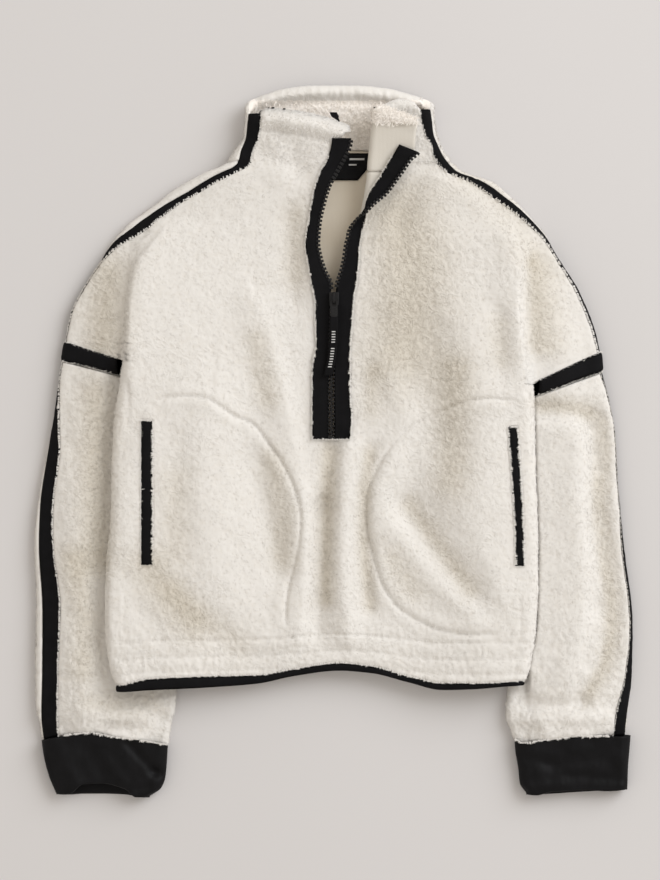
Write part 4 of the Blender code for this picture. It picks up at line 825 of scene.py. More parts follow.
def make_weave(name, base, light, scale=1400.0, bump=0.00018, rough=0.7, sheen=0.15, spec=0.3, rib=0.0):
    """Close plain weave: crossed threads, with slow changes of tone and gloss."""
    m, t, b, place, node, link = node_material(name)
    sep = node("ShaderNodeSeparateXYZ")
    link(place.outputs["Object"], sep.inputs[0])
    waves = []
    for axis, k in (("X", scale), ("Y", scale * 0.83)):
        s = node("ShaderNodeMath", operation="MULTIPLY")
        link(sep.outputs[axis], s.inputs[0])
        s.inputs[1].default_value = k * math.pi
        w = node("ShaderNodeMath", operation="SINE")
        link(s.outputs[0], w.inputs[0])
        waves.append(w.outputs[0])
    cross = node("ShaderNodeMath", operation="MULTIPLY")
    link(waves[0], cross.inputs[0])
    link(waves[1], cross.inputs[1])
    slub = node("ShaderNodeTexNoise", Scale=scale * 0.3, Detail=4.0, Roughness=0.6)
    link(place.outputs["Object"], slub.inputs["Vector"])
    mix = node("ShaderNodeMath", operation="MULTIPLY_ADD")
    link(cross.outputs[0], mix.inputs[0])
    mix.inputs[1].default_value = 0.35
    link(slub.outputs["Fac"], mix.inputs[2])
    bumper = node("ShaderNodeBump", Strength=0.8, Distance=bump)
    link(mix.outputs[0], bumper.inputs["Height"])
    link(bumper.outputs[0], b.inputs["Normal"])
    slow = node("ShaderNodeTexNoise", Scale=55.0, Detail=4.0)
    link(place.outputs["Object"], slow.inputs["Vector"])
    tone = node("ShaderNodeMath", operation="MULTIPLY_ADD")
    link(mix.outputs[0], tone.inputs[0])
    tone.inputs[1].default_value = 0.35
    link(slow.outputs["Fac"], tone.inputs[2])
    r = ramp_node(node, [(0.35, base), (0.95, light)])
    link(tone.outputs[0], r.inputs[0])
    link(r.outputs[0], b.inputs["Base Color"])
    rr = node("ShaderNodeMapRange")
    link(slow.outputs["Fac"], rr.inputs["Value"])
    rr.inputs["To Min"].default_value = rough - 0.08
    rr.inputs["To Max"].default_value = rough + 0.08
    link(rr.outputs[0], b.inputs["Roughness"])
    b.inputs["Sheen Weight"].default_value = sheen
    b.inputs["Sheen Roughness"].default_value = 0.4
    b.inputs["Specular IOR Level"].default_value = spec
    return m


def make_knit(name, light, dark):
    """Smooth knitted reverse of the fleece: fine wales."""
    m, t, b, place, node, link = node_material(name)
    sep = node("ShaderNodeSeparateXYZ")
    link(place.outputs["Object"], sep.inputs[0])
    s = node("ShaderNodeMath", operation="MULTIPLY")
    link(sep.outputs["X"], s.inputs[0])
    s.inputs[1].default_value = 4200.0
    w = node("ShaderNodeMath", operation="SINE")
    link(s.outputs[0], w.inputs[0])
    n = node("ShaderNodeTexNoise", Scale=700.0, Detail=3.0)
    link(place.outputs["Object"], n.inputs["Vector"])
    mix = node("ShaderNodeMath", operation="MULTIPLY_ADD")
    link(w.outputs[0], mix.inputs[0])
    mix.inputs[1].default_value = 0.25
    link(n.outputs["Fac"], mix.inputs[2])
    bumper = node("ShaderNodeBump", Strength=0.6, Distance=0.0002)
    link(mix.outputs[0], bumper.inputs["Height"])
    link(bumper.outputs[0], b.inputs["Normal"])
    wide = node("ShaderNodeTexNoise", Scale=18.0, Detail=3.0)
    link(place.outputs["Object"], wide.inputs["Vector"])
    r = ramp_node(node, [(0.3, dark), (0.7, light)])
    link(wide.outputs["Fac"], r.inputs[0])
    link(r.outputs[0], b.inputs["Base Color"])
    b.inputs["Roughness"].default_value = 0.92
    b.inputs["Sheen Weight"].default_value = 0.15
    b.inputs["Specular IOR Level"].default_value = 0.2
    return m


def make_moulded(name, base, light, rough=0.38, scale=900.0):
    m, t, b, place, node, link = node_material(name)
    n = node("ShaderNodeTexNoise", Scale=scale, Detail=3.0)
    link(place.outputs["Object"], n.inputs["Vector"])
    bumper = node("ShaderNodeBump", Strength=0.4, Distance=0.00006)
    link(n.outputs["Fac"], bumper.inputs["Height"])
    link(bumper.outputs[0], b.inputs["Normal"])
    r = ramp_node(node, [(0.35, base), (0.75, light)])
    link(n.outputs["Fac"], r.inputs[0])
    link(r.outputs[0], b.inputs["Base Color"])
    rr = node("ShaderNodeMapRange")
    link(n.outputs["Fac"], rr.inputs["Value"])
    rr.inputs["To Min"].default_value = rough - 0.06
    rr.inputs["To Max"].default_value = rough + 0.1
    link(rr.outputs[0], b.inputs["Roughness"])
    b.inputs["Specular IOR Level"].default_value = 0.28
    return m


PILE = make_pile("fleece_pile", (0.765, 0.744, 0.717), (0.745, 0.716, 0.677), bump=0.0006)
# painted light: a brighter copy of the pile for the inside of the collar and the top of the turned-back collar, where
# shade falls
PILE_PAINTED_LIGHT = make_pile("fleece_pile_painted_light", (0.95, 0.905, 0.86), (0.92, 0.87, 0.81), bump=0.0007)
LOOSE = make_pile("fleece_loose_pile", (0.77, 0.75, 0.726), (0.755, 0.728, 0.692), bump=0.0002)
LAPEL_REVERSE = make_knit("fleece_reverse_pale", (0.675, 0.644, 0.592), (0.64, 0.603, 0.543))
REVERSE = make_knit("fleece_reverse", (0.82, 0.745, 0.63), (0.76, 0.68, 0.56))
TAPE = make_weave("woven_tape", (0.0022, 0.0022, 0.0027), (0.0066, 0.0063, 0.0074), sheen=0.0, spec=0.1)
CUFF_CLOTH = make_weave("cuff_smooth_woven", (0.0017, 0.0017, 0.0022), (0.0058, 0.0056, 0.0068), scale=2600.0, bump=0.00006, rough=0.52, sheen=0.0, spec=0.14)
BAG_CLOTH = make_knit("pocket_lining", (0.70, 0.655, 0.585), (0.63, 0.58, 0.50))
LABEL_CLOTH = make_weave("label_satin", (0.003, 0.003, 0.0035), (0.008, 0.008, 0.009), scale=2600.0, rough=0.6, sheen=0.0, spec=0.12)
THREAD_PALE = make_weave("stitch_thread_pale", (0.60, 0.55, 0.47), (0.72, 0.67, 0.59), scale=4000.0, rough=0.7)
THREAD_DARK = make_weave("stitch_thread_black", (0.012, 0.012, 0.013), (0.04, 0.04, 0.043), scale=4000.0, rough=0.5)
THREAD_WHITE = make_weave("woven_mark", (0.55, 0.55, 0.55), (0.75, 0.75, 0.74), scale=4000.0, rough=0.6)
MOULDED = make_moulded("zip_moulding", (0.005, 0.005, 0.006), (0.014, 0.0135, 0.014))


# ---------------------------------------------------------------- pieces
def as_object(name, verts, faces, mats, slots=None, smooth=True):
    """A mesh in metres from points in millimetres."""
    mesh = bpy.data.meshes.new(name)
    mesh.from_pydata((np.asarray(verts, float) * MM).tolist(), [], faces)
    for m in mats:
        mesh.materials.append(m)
    if slots is not None:
        mesh.polygons.foreach_set("material_index", np.asarray(slots, np.int32))
    if smooth:
        mesh.polygons.foreach_set("use_smooth", np.ones(len(mesh.polygons), bool))
    mesh.update()
    ob = bpy.data.objects.new(name, mesh)
    bpy.context.scene.collection.objects.link(ob)
    return ob


SHEETS = {}      # piece -> what it lies on and the pieces that go with it; nothing is put in it


def ride(ob, body="garment", node=None):
    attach(ob, body)
    if node:
        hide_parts(node)
    return ob


def shell_object(name, skin, mats, node, body="garment", pick=None):
    """pick: which of the materials a face of the inner side takes by its middle, or None for the last."""
    slots = [0] * skin.n_outer + [len(mats) - 1] * (len(skin.faces) - skin.n_outer)
    if pick is not None:
        for k in range(skin.n_outer, len(skin.faces)):
            other = pick(skin.verts[list(skin.faces[k])].mean(0))
            if other is not None:
                slots[k] = other
    ob = as_object(name, skin.verts, skin.faces, mats, slots)
    if skin.level.any():                                   # the outer face's shading doesn't turn over at such a border
        ends = np.zeros(len(ob.data.edges) * 2, np.int32)
        ob.data.edges.foreach_get("vertices", ends)
        keen = skin.level[ends].reshape(-1, 2).all(1)
        mark = ob.data.attributes.new("sharp_edge", "BOOLEAN", "EDGE")
        mark.data.foreach_set("value", keen)
    # painted shade on the pile, as an attribute
    if mats[0] is PILE:
        paint_shade(ob, skin.verts)
    return ride(ob, body, node)


def paint_shade(ob, points):
    """Painted shade as an attribute that the pile's material reads: the painted shade strokes, and a fixed painted
    shade on parts lying low by the floor.
    """
    points = np.asarray(points, float)
    v = painted_shade(points[:, 0], points[:, 1]) * ramp((points[:, 2] - 7) / 5) + 0.3 * (1 - ramp((points[:, 2] - 7) / 5))
    a = ob.data.attributes.new("painted_shade", "FLOAT", "POINT")
    a.data.foreach_set("value", np.asarray(v, np.float32))


def arc(points):
    return np.linalg.norm(np.diff(points, axis=0), axis=1).sum()


def cut(grid):
    """Flat width and length of a grid of points, along the cloth."""
    w = max(arc(grid[i]) for i in range(0, len(grid), max(1, len(grid) // 12)))
    h = max(arc(grid[:, j]) for j in range(0, grid.shape[1], max(1, grid.shape[1] // 12)))
    return w * MM, h * MM


def declare(ob, flat, area):
    w, l = max(flat[0], 0.0101), max(flat[1], 0.0101)
    a = area * MM * MM
    if a > w * l:
        w, l = w * math.sqrt(a / (w * l)) * 1.001, l * math.sqrt(a / (w * l)) * 1.001


# pile: how far it stands over the cloth's outer face (mm)
def pile(p, amount=1.0, seed=0):
    soft = 0.8 * noise(p, 42, seed + 20) + 0.55 * noise(p, 17, seed + 21)
    nub = 0.9 * (curls(p, 8.5, seed + 30) - 0.4) + 0.7 * noise(p, 5.2, seed + 34) + 0.36 * noise(p, 3.1, seed + 35)
    # smooth where it lies open to the light, curly in the hollows and towards the hem
    rough = 0.55 + 0.7 * painted_shade(p[:, 0], p[:, 1]) + 0.55 * ramp((-200 - p[:, 1]) / 30)
    return soft + nub * amount * rough


def smooth_pile(p, seed=0):
    return 0.35 * noise(p, 30, seed + 50) + 0.12 * noise(p, 7, seed + 51)


def ragged(p, base, amount, seed=0):
    """Reach of the pile over a trim beside it: uneven, a little over its edge."""
    n = 0.6 * noise(p, 4.6, seed + 60) + 0.55 * noise(p, 2.9, seed + 61)
    return base + amount * n


BAG_SEAMS = {
    "left": smooth_line(px([(150, 405), (168, 397.5), (202, 397), (220, 406), (236, 417), (253, 424), (269, 444), (281, 461), (291, 480), (298, 500),
                            (300.5, 518), (300, 534), (297, 552), (293, 570), (288, 590), (286, 609), (286, 630)])),
    "right": smooth_line(px([(520, 401), (484, 399), (468, 401), (452, 406), (430, 416), (409, 429), (391, 446), (381, 461), (373, 478), (367, 496), (366, 512),
                             (367, 530), (371, 549), (377, 570), (384, 588), (396, 605), (407, 614), (421, 622), (442, 630), (470, 634), (505, 633)])),
}
HEM_LINES = [(-11.5, 1.7), (-28.5, 1.5), (-47.5, 2.1)]


def front_detail(p):
    """Seams pressed into the front and the fullness beside them, measured from the outer face."""
    x, y = p[:, 0], p[:, 1]
    h = np.zeros(len(p))
    for side, depth, puff in (("left", 2.6, 1.3), ("right", 2.4, 1.5)):
        d, way = to_line(x, y, BAG_SEAMS[side])
        inner = d if side == "left" else -d            # + on the pocket's side
        ends = ramp(way / 0.06) * ramp((1 - way) / 0.05)
        wob = 1 + 0.25 * noise(p, 26, 71)
        h -= depth * wob * np.exp(-(d / 2.0) ** 2) * ends
        h += puff * np.exp(-((inner - 8) / 6.5) ** 2) * ends
        h += 0.6 * puff * np.exp(-((inner + 7) / 6.0) ** 2) * ends
    up = HEM("up", x)
    bow = 0.45 * (up + 281)                              # the rows of stitches bow less than the hem's edge
    for off, depth in HEM_LINES:
        line = -281 - off + bow + 1.2 * noise(np.stack([x, 0 * x, 0 * x], -1), 60, int(72 - off))
        d = y - line
        some = 0.55 + 0.45 * np.clip(noise(np.stack([x, 0 * x + off, 0 * x], -1), 45, 75) * 2.0 + 0.4, 0, 1)
        edge = ramp((x + 252) / 8) * ramp((226 - x) / 8)
        h -= depth * some * edge * np.exp(-(d / 1.7) ** 2)
        h += 0.6 * edge * np.exp(-((d + 8) / 5.5) ** 2)
    for x0 in (-241.0, 214.0):                            # rows of stitches up from the hem at each side
        d = x - x0
        edge = ramp((y + 226) / 6) * ramp((-166 - y) / 14)
        h -= 1.0 * edge * np.exp(-(d / 1.6) ** 2)
    return h


def slot_under_welts(p):
    """The pocket mouths, in which the welts lie."""
    x, y = p[:, 0], p[:, 1]
    h = np.zeros(len(p))
    for side, sign in (("left", -1), ("right", 1)):
        out = GUIDE[side]("outer", y) - 0.9
        inn = GUIDE[side]("inner", y) + 0.9
        a = np.abs(x)
        across = np.minimum(out - a, a - inn)
        lo, hi = (-142, 23) if side == "left" else (-143, 16)
        inside = np.where(x * sign > 0, np.minimum(across, np.minimum(y - lo, hi - y)), -9.0)
        h -= 3.4 * ramp((inside + 1.7) / 2.0)
    return h


WIDER = 3.0      # of the left shoulder tape in its bend (mm)


# ---- front
def make_front():
    step = 2.25
    v = levels(step)
    key = int(np.argmin(np.abs(v - SLIT_ROW)))
    nl = 146
    tl = np.linspace(0, 1, nl)
    grids = {}
    for side in ("left", "right"):
        n = nl if side == "left" else 126
        t = np.linspace(0, 1, n)
        y, s, upper = half_grid(side, v, t, front_start(side), lambda q, side=side: slit_end(side, q), NECK_FRONT)
        grids[side] = body_place(side, y, s, upper)
    left, right = grids["left"], grids["right"][:, ::-1]
    mid_n = 11
    cols = []
    for k in range(1, mid_n + 1):
        x = left[:, -1, 0] + (right[:, 0, 0] - left[:, -1, 0]) * k / (mid_n + 1)
        y = row_y(v, x, NECK_FRONT)
        cols.append(stack(x, y, front_height(x, y)))
    main = np.concatenate([left, np.stack(cols, 1), right], 1)
    mask = np.ones((main.shape[0] - 1, main.shape[1] - 1), bool)
    mask[key:, nl - 1:nl + mid_n] = False
    skin = Skin()
    idx = skin.add(main, mask, coarse=(3, 3))
    edge = idx[:, nl + mid_n]
    rows = np.flatnonzero(right[:, 0, 1] >= 238.0)
    skin_lapel = lapel_grid(right[rows, 0, 1], None)
    full = np.concatenate([skin_lapel[:, ::-1], main[rows, nl + mid_n][:, None]], 1)
    skin.add(full, coarse=(1, 1), join=(full.shape[1] - 1, edge[rows]))
    skin.solve(1)
    p = skin.P
    lap = np.zeros(skin.count, bool)
    lap[idx.size:] = True
    lift = pile(p) + np.where(lap, 0.0, 1.0) * front_detail(p)
    lift = np.where(lap, 0.1 * noise(p, 9, 5), lift)
    trench = slot_under_welts(p)
    lift = np.where(trench < -0.3, trench, lift + trench)
    # the cloth runs flat under the zip tapes
    tape_l = ramp((p[:, 0] - ZIP_LEFT("outer", p[:, 1]) + 2.0) / 3.0)
    tape_r = ramp((np.where(p[:, 1] <= 238, ZIP_RIGHT_LOW("outer", p[:, 1]), 999) - p[:, 0] + 2.0) / 3.0)
    foot = ramp((p[:, 1] - 1.0) / 2.5)
    under_tape = np.where(lap, 0, np.minimum(tape_l, tape_r) * foot)
    lift = lift * (1 - under_tape) - 0.9 * under_tape
    reach = np.where(skin.border, ragged(p, 0.3, 0.7), 0)
    turn = skin.border & (p[:, 0] < -60) & (p[:, 1] > 230)      # the shoulder tape widens where it turns up to the collar
    reach = np.where(turn, reach - WIDER * np.exp(-((p[:, 1] - 298) / 20) ** 2), reach)
    bottom = skin.border & (p[:, 1] < -240)
    reach = np.where(bottom, ragged(p, 1.2, 1.1), reach)
    centre = skin.border & (np.abs(p[:, 0]) < 60) & (p[:, 1] > 0)
    reach = np.where(centre, 0.0, reach)
    under = np.where(lap, smooth_pile(p) * 0.6, 0.6)
    radius = np.where(lap, 1.9, 2.6)
    neck = skin.border & ~lap & (p[:, 1] > 300) & (np.abs(p[:, 0] - 4) < 98)
    radius = np.where(neck, 0.05, radius)
    reach = np.where(neck, 0.8, reach)
    skin.build(FLEECE, lift, under, radius, reach, flush=neck)
    return skin, main


def lapel_grid(y, skew):
    """Turned-back zip edge of the front and collar: outer face round the fold, then out over the front."""
    line, width = LAPEL("line", y), LAPEL("width", y)
    ss = np.concatenate([np.linspace(0, 1, 9)[1:], 1 + np.linspace(0, 1, 24)[1:]])
    turn = math.pi * LAPEL_R
    z0 = front_height(line, y)
    cols = []
    for q in ss:
        s = np.where(q <= 1, np.minimum(width, turn) * q, np.minimum(width, turn) + np.maximum(width - turn, 0.02 * q) * (q - 1))
        a = np.minimum(s / LAPEL_R, math.pi)
        x = line - LAPEL_R * np.sin(a) * 0 + np.maximum(0.0, s - turn)
        z = np.where(s > turn, np.maximum(z0, front_height(x, y)), z0)
        yy = y if skew is None else y - skew * np.maximum(0.0, x - line)
        cols.append(stack(x - LAPEL_R * np.sin(a), yy, z + LAPEL_R * (1 - np.cos(a))))
    return np.stack(cols, 1)


# ---- back
def make_back():
    step = 4.0
    v = levels(step)
    halves = {}
    for side in ("left", "right"):
        t = np.linspace(0, 1, 84)
        y, s, upper = half_grid(side, v, t, lambda q, u, side=side: -back_start(side)(q, u), lambda q: 0.0 * q, NECK_BACK)
        halves[side] = body_place(side, y, -s, upper)
    main = np.concatenate([halves["left"], halves["right"][:, ::-1][:, 1:]], 1)
    skin = Skin()
    skin.add(main, coarse=(2, 2))
    skin.solve(-1)
    p = skin.P
    high = ramp((p[:, 2] - 1.0) / 5.0)
    lift = pile(p, 1.0, 1) * high + (0.25 * noise(p, 6, 9) - 0.35) * (1 - high)
    up = HEM("up", p[:, 0])
    for off, depth in HEM_LINES:
        lift -= 0.5 * depth * np.exp(-((p[:, 1] - (-281 - off + 0.45 * (up + 281))) / 1.8) ** 2)
    reach = np.where(skin.border, ragged(p, 0.6, 0.6, 2), 0)
    reach = np.where(skin.border & (p[:, 2] < 3.0), 0.2, reach)
    skin.build(FLEECE, lift, 0.25 * noise(p, 24, 8), 2.5, reach)
    return skin, main


# ---- sleeves
SLEEVE_START = {      # where the sleeve meets the armhole band: distance from the middle, height
    "left": ([171, 245, 312], [54, 74, 92]),
    "right": ([141, 230, 308], [16, 50, 79]),
}
SLEEVE_CREASES = {
    # small creases of the sleeves over the cuffs and in their bends
    "left": [(-335, -322, -300, -333, 7, -1.8), (-262, -326, -225, -330, 7, -2.2), (-222, -300, -196, -318, 8, -2.4), (-318, 30, -300, -10, 10, -1.6),
             (-300, -200, -280, -235, 14, -1.6), (-196, -288, -262, -306, 9, -2.6)],
    "right": [(262, -328, 300, -330, 8, -2.0), (316, -300, 338, -316, 9, -1.8), (226, -330, 250, -322, 8, -1.6), (318, -100, 312, -150, 12, -1.4),
              (292, 8, 304, -30, 8, -1.8)],
}


def sleeve_grid(side, top, rows, cols):
    sign = -1 if side == "left" else 1
    t = SLEEVE[side]
    vv = np.linspace(0, 1, rows)[:, None]
    tt = np.linspace(0, 1, cols)[None, :]
    y = 60 - 400 * vv + 0 * tt
    for _ in range(16):
        if top:
            s0 = t("tape_in", y) + SEAM
            s = s0 + (sleeve_span(side, y) - 0.1 - s0) * tt
            q = s
        else:
            s0 = -(t("tape_out", y) - SEAM)
            s = s0 + (sleeve_span(side, y) - 0.1 - s0) * tt
            q = -s
        pts = sleeve_place(side, y, q)
        u = np.abs(pts[..., 0])
        y0 = np.interp(u, *SLEEVE_START[side])
        y1 = CUFF_LINE[side]("y", pts[..., 0]) + 0.6
        y = 0.5 * y + 0.5 * (y0 + (y1 - y0) * vv)
    return sleeve_place(side, y, q)


def make_sleeve(side, top):
    grid = sleeve_grid(side, top, 190 if top else 120, 84 if top else 56)
    skin = Skin()
    skin.add(grid, coarse=(2, 2) if top else (3, 3))
    skin.solve(1 if top else -1)
    p = skin.P
    if top:
        lift = pile(p, 1.0, 2 if side == "left" else 3) + along(p[:, 0], p[:, 1], SLEEVE_CREASES[side])
        u, inn = np.abs(p[:, 0]), SLEEVE[side]("body", p[:, 1])
        hid = ramp((inn + 4 - u) / 10) * ramp((p[:, 1] + 290) / 20)      # under the body the pile is pressed flat
        lift = lift * (1 - hid) - 1.2 * hid
        line = CUFF_LINE[side]("y", p[:, 0])
        lift += 1.1 * np.exp(-((p[:, 1] - line - 8) / 5.0) ** 2)
    else:
        high = ramp((p[:, 2] - 1.0) / 6.0)
        lift = pile(p, 1.0, 4) * high + (0.25 * noise(p, 6, 9) - 0.35) * (1 - high)
    reach = np.where(skin.border, ragged(p, 0.2, 0.7, 3), 0)
    cuff_side = skin.border & (p[:, 1] < -325)
    reach = np.where(cuff_side, ragged(p, 1.6 if top else 0.6, 1.3 if top else 0.3, 4), reach)
    skin.build(FLEECE, lift, smooth_pile(p), 2.6, reach)
    return skin, grid


# ---- collar
def collar_front_grid(side, rows=44, cols=None):
    """From the neck seam to the rim, and from the shoulder tape to the zip."""
    left = side == "left"
    sign = -1 if left else 1
    cols = cols or (62 if left else 50)
    tape = UPPER_LEFT if left else UPPER_RIGHT
    top = COLLAR_TOP_LEFT if left else COLLAR_TOP_RIGHT
    last = TAPE_TOP[side][-1]
    v = np.linspace(0, 1, rows)[:, None]
    f = np.linspace(0, 1, cols)[None, :]
    y = 322 + 50 * v + 0 * f
    x = sign * 60 + 0 * y
    for _ in range(16):
        ys = 322 + (last - 322) * v                        # beside the tape
        low = row_y(28.0, x, NECK_FRONT)
        high = top("high", f)
        shoulder = np.exp(-(f / 0.05) ** 2)
        y = 0.5 * y + 0.5 * ((low + (high - low) * v) * (1 - shoulder) + ys * shoulder)
        out = body_out(side, y, True)
        s0 = tape("tape_in", y) + SEAM
        if left:
            end = ZIP_LEFT("outer", np.minimum(y, 357)) + PANEL_UNDER_TAPE + 7.0 * ramp((y - 344) / 10)
        else:
            end = LAPEL("line", y)
        s1 = out - sign * end - FOLD_R + FOLD_L
        s = s0 + (s1 - s0) * f
        inset, _ = fold(s)
        x = sign * (out - inset)
    return body_place(side, y, s, True)


LAPEL_PILE = 362.5      # above this line the turned-back collar shows its pile


def make_collar_front(side):
    grid = collar_front_grid(side)
    skin = Skin()
    left = side == "left"
    if not left:
        grid = grid[:, ::-1]
    idx = skin.add(grid, coarse=(1, 1) if not left else (2, 2))
    if not left:
        y = grid[:, 0, 1]
        lap = lapel_grid(y, 0.37 * ramp((y - 318) / 50))
        full = np.concatenate([lap[:, ::-1], grid[:, 0][:, None]], 1)
        skin.add(full, join=(full.shape[1] - 1, idx[:, 0]))
    skin.solve(1)
    p = skin.P
    lapel = np.zeros(skin.count, bool)
    lapel[idx.size:] = True
    down = np.full(skin.count, 99.0)
    if not left:
        down[idx.size:] = (full[-1:, :, 1] - full[:, :, 1]).ravel()
    top = COLLAR_TOP_LEFT if left else COLLAR_TOP_RIGHT
    lift = pile(p)
    x0, x1 = grid[:, 0, 0].min(), grid[:, -1, 0].max()
    f = (p[:, 0] - x0) / (x1 - x0)
    rim = top("high", f if left else 1 - f)
    below = rim - p[:, 1]
    roll = np.where(lapel, 0.0, np.exp(-((below - 6.0) / 7.5) ** 2))
    lift = lift + 4.6 * roll - 1.6 * np.where(lapel, 0, np.exp(-((below - 19.0) / 4.0) ** 2))
    lift += np.where(below > 0, 1.3 * roll * noise(stack(p[:, 0] * 1.6, p[:, 1] * 0.3, p[:, 2] * 0), 9, 81), 0)
    lift = np.where(lapel, 0.15 * noise(p, 9, 5), lift)
    if left:
        tape = ramp((p[:, 0] - ZIP_LEFT("outer", p[:, 1]) + 2.0) / 3.0) * ramp((352 - p[:, 1]) / 4)
        lift = lift * (1 - tape) - 0.9 * tape
    curly = ramp((p[:, 1] - LAPEL_PILE - 1.5 * noise(p, 7, 82)) / 3.0)
    face = 0.5 * smooth_pile(p) + curly * (0.5 + 0.9 * pile(p, 1.0, 6)) + 3.4 * np.exp(-((down - 6.0) / 7.0) ** 2)
    face = face - 1.8 * np.exp(-((p[:, 1] - LAPEL_PILE + 1.0) / 2.6) ** 2) * ramp((p[:, 0] - 62) / 10)
    under = np.where(lapel, face, 4.5 * roll + 0.4 * pile(p, 0.8, 6))
    radius = np.where(below < 7, 7.5, 2.4)
    radius = np.where(lapel, np.where(down < 1, 5.5, 2.2), radius)
    seam = skin.border & ~lapel & (p[:, 1] < rim - 30) & (p[:, 1] < 345)
    seam &= np.abs(p[:, 1] - row_y(28.0, p[:, 0], NECK_FRONT)) < 3.0
    radius = np.where(seam, 0.05, radius)
    reach = np.where(skin.border, ragged(p, 0.4, 0.7, 5), 0)
    free = skin.border & (below < 3)
    grow = 6.5 * ramp((p[:, 0] + 96) / 22) * ramp((24 - p[:, 0]) / 12) if left else 0.6
    reach = np.where(free, grow + 0.5 * noise(p, 5, 83), reach)
    if left:
        reach = np.where(skin.border & (p[:, 0] > ZIP_LEFT("outer", p[:, 1]) + 4) & (below > 6), 0.0, reach)
    reach = np.where(seam, 0.8, reach)
    skin.build(FLEECE, lift, under, radius, reach, flush=seam)
    return skin, grid


def make_collar_back():
    rows = 46
    halves = []
    for side in ("left", "right"):
        sign = -1 if side == "left" else 1
        tape = UPPER_LEFT if side == "left" else UPPER_RIGHT
        last = TAPE_TOP[side][-1]
        v = np.linspace(0, 1, rows)[:, None]
        f = np.linspace(0, 1, 76)[None, :]
        y = 322 + 60 * v + 0 * f
        x = sign * 60 + 0 * y
        high = Table("f y", [(0, last), (0.10, 391), (0.24, 398), (0.5, 406), (0.8, 409), (1, 409)])
        for _ in range(16):
            low = row_y(28.0, x, NECK_BACK)
            y = 0.5 * y + 0.5 * (low + (high("y", f) - low) * v)
            out = body_out(side, y, True)
            s0 = -(tape("tape_out", y) - SEAM)
            s1 = out - FOLD_R + FOLD_L
            s = s0 + (s1 - s0) * f
            inset, _ = fold(s)
            x = sign * (out - inset)
        halves.append(body_place(side, y, -s, True))
    grid = np.concatenate([halves[0], halves[1][:, ::-1][:, 1:]], 1)
    skin = Skin()
    skin.add(grid, coarse=(1, 1))
    skin.solve(-1)
    p = skin.P
    high = ramp((p[:, 2] - 1.0) / 5.0)
    rimline = Table("x y", [(-125, 384), (-95, 396), (-60, 405), (-20, 409), (20, 409), (60, 405), (100, 398), (125, 388)])
    below = rimline("y", p[:, 0]) - p[:, 1]
    roll = np.exp(-(np.maximum(below - 7.5, 0) / 6.0) ** 2 - (np.minimum(below - 7.5, 0) / 9.0) ** 2)
    lift = pile(p, 1.0, 7) * high + 0.25 * noise(p, 7, 8) * (1 - high) + 2.0 * roll
    puck = noise(stack(p[:, 0], p[:, 1] * 0.2, 0 * p[:, 2]), 9, 84) + 0.6 * noise(stack(p[:, 0], p[:, 1] * 0.3, 0 * p[:, 2]), 4.6, 86)
    under = 1.0 * pile(p, 1.1, 8) + (6.4 + 2.0 * puck) * roll - 1.4 * np.exp(-((below - 19.5) / 3.2) ** 2)
    radius = np.where(below < 8, 7.0, 2.5)
    reach = np.where(skin.border, 0.5 + 0.4 * noise(p, 5, 85), 0)
    skin.build(FLEECE, lift, under, radius, reach)
    return skin, grid


# ---- woven strips
def strip_shell(name, grid, up, wall, node, mat, crown=0.0, pucker=0.25, drop=0.8, edge=0.0, seed=0, extend=0.0, radius=0.7, fray=0.0):
    """A woven strip: rows of points across it, a little below the pile beside it."""
    skin = Skin()
    skin.add(grid)
    skin.solve(up)
    p = skin.P
    r, c = grid.shape[:2]
    across = np.tile(np.linspace(-1, 1, c), r)
    lift = crown * (1 - across ** 2) - drop + pucker * noise(p, 7.5, seed + 90) + 0.4 * pucker * noise(p, 3.4, seed + 91)
    lift += edge * np.exp(-((np.abs(across) - 0.8) / 0.13) ** 2)
    reach = np.where(skin.border, extend + fray * (noise(p, 4.4, 95) + 0.5 * noise(p, 2.2, 96)), 0)
    if name.startswith("shoulder_tape_left"):
        reach = np.where(skin.border & (across > 0.9), reach + (WIDER + 0.4) * np.exp(-((p[:, 1] - 298) / 20) ** 2), reach)
    skin.build(wall, lift, 0.0, radius, reach)
    return skin, shell_object(name, skin, [mat], node)


def spread(a, b, n):
    """n columns between two lines of points."""
    f = np.linspace(0, 1, n)[None, :, None]
    return a[:, None] * (1 - f) + b[:, None] * f


def shoulder_tape_grid(side, step=2.4, cols=9):
    t = UPPER_LEFT if side == "left" else UPPER_RIGHT
    y0 = 113 if side == "left" else 101
    y = np.arange(y0 + 0.3, TAPE_TOP[side][-1] + 0.1, step)
    f = np.linspace(0, 1, cols)[None, :]
    yy = y[:, None] + 0 * f
    a, b = t("tape_out", yy) + 0.2, t("tape_in", yy) - 0.2
    return body_place(side, yy, a + (b - a) * f, True)


def sleeve_tape_grid(side, rows=170, cols=9):
    t = SLEEVE[side]
    v = np.linspace(0, 1, rows)[:, None]
    f = np.linspace(0, 1, cols)[None, :]
    y = 80 - 420 * v + 0 * f
    for _ in range(14):
        a, b = t("tape_out", y) + 0.2, t("tape_in", y) - 0.2
        q = a + (b - a) * f
        pts = sleeve_place(side, y, q)
        y0 = np.interp(np.abs(pts[..., 0]), *SLEEVE_START[side]) + 0.3
        y1 = CUFF_LINE[side]("y", pts[..., 0]) + 0.6
        y = 0.5 * y + 0.5 * (y0 + (y1 - y0) * v)
    return sleeve_place(side, y, q)


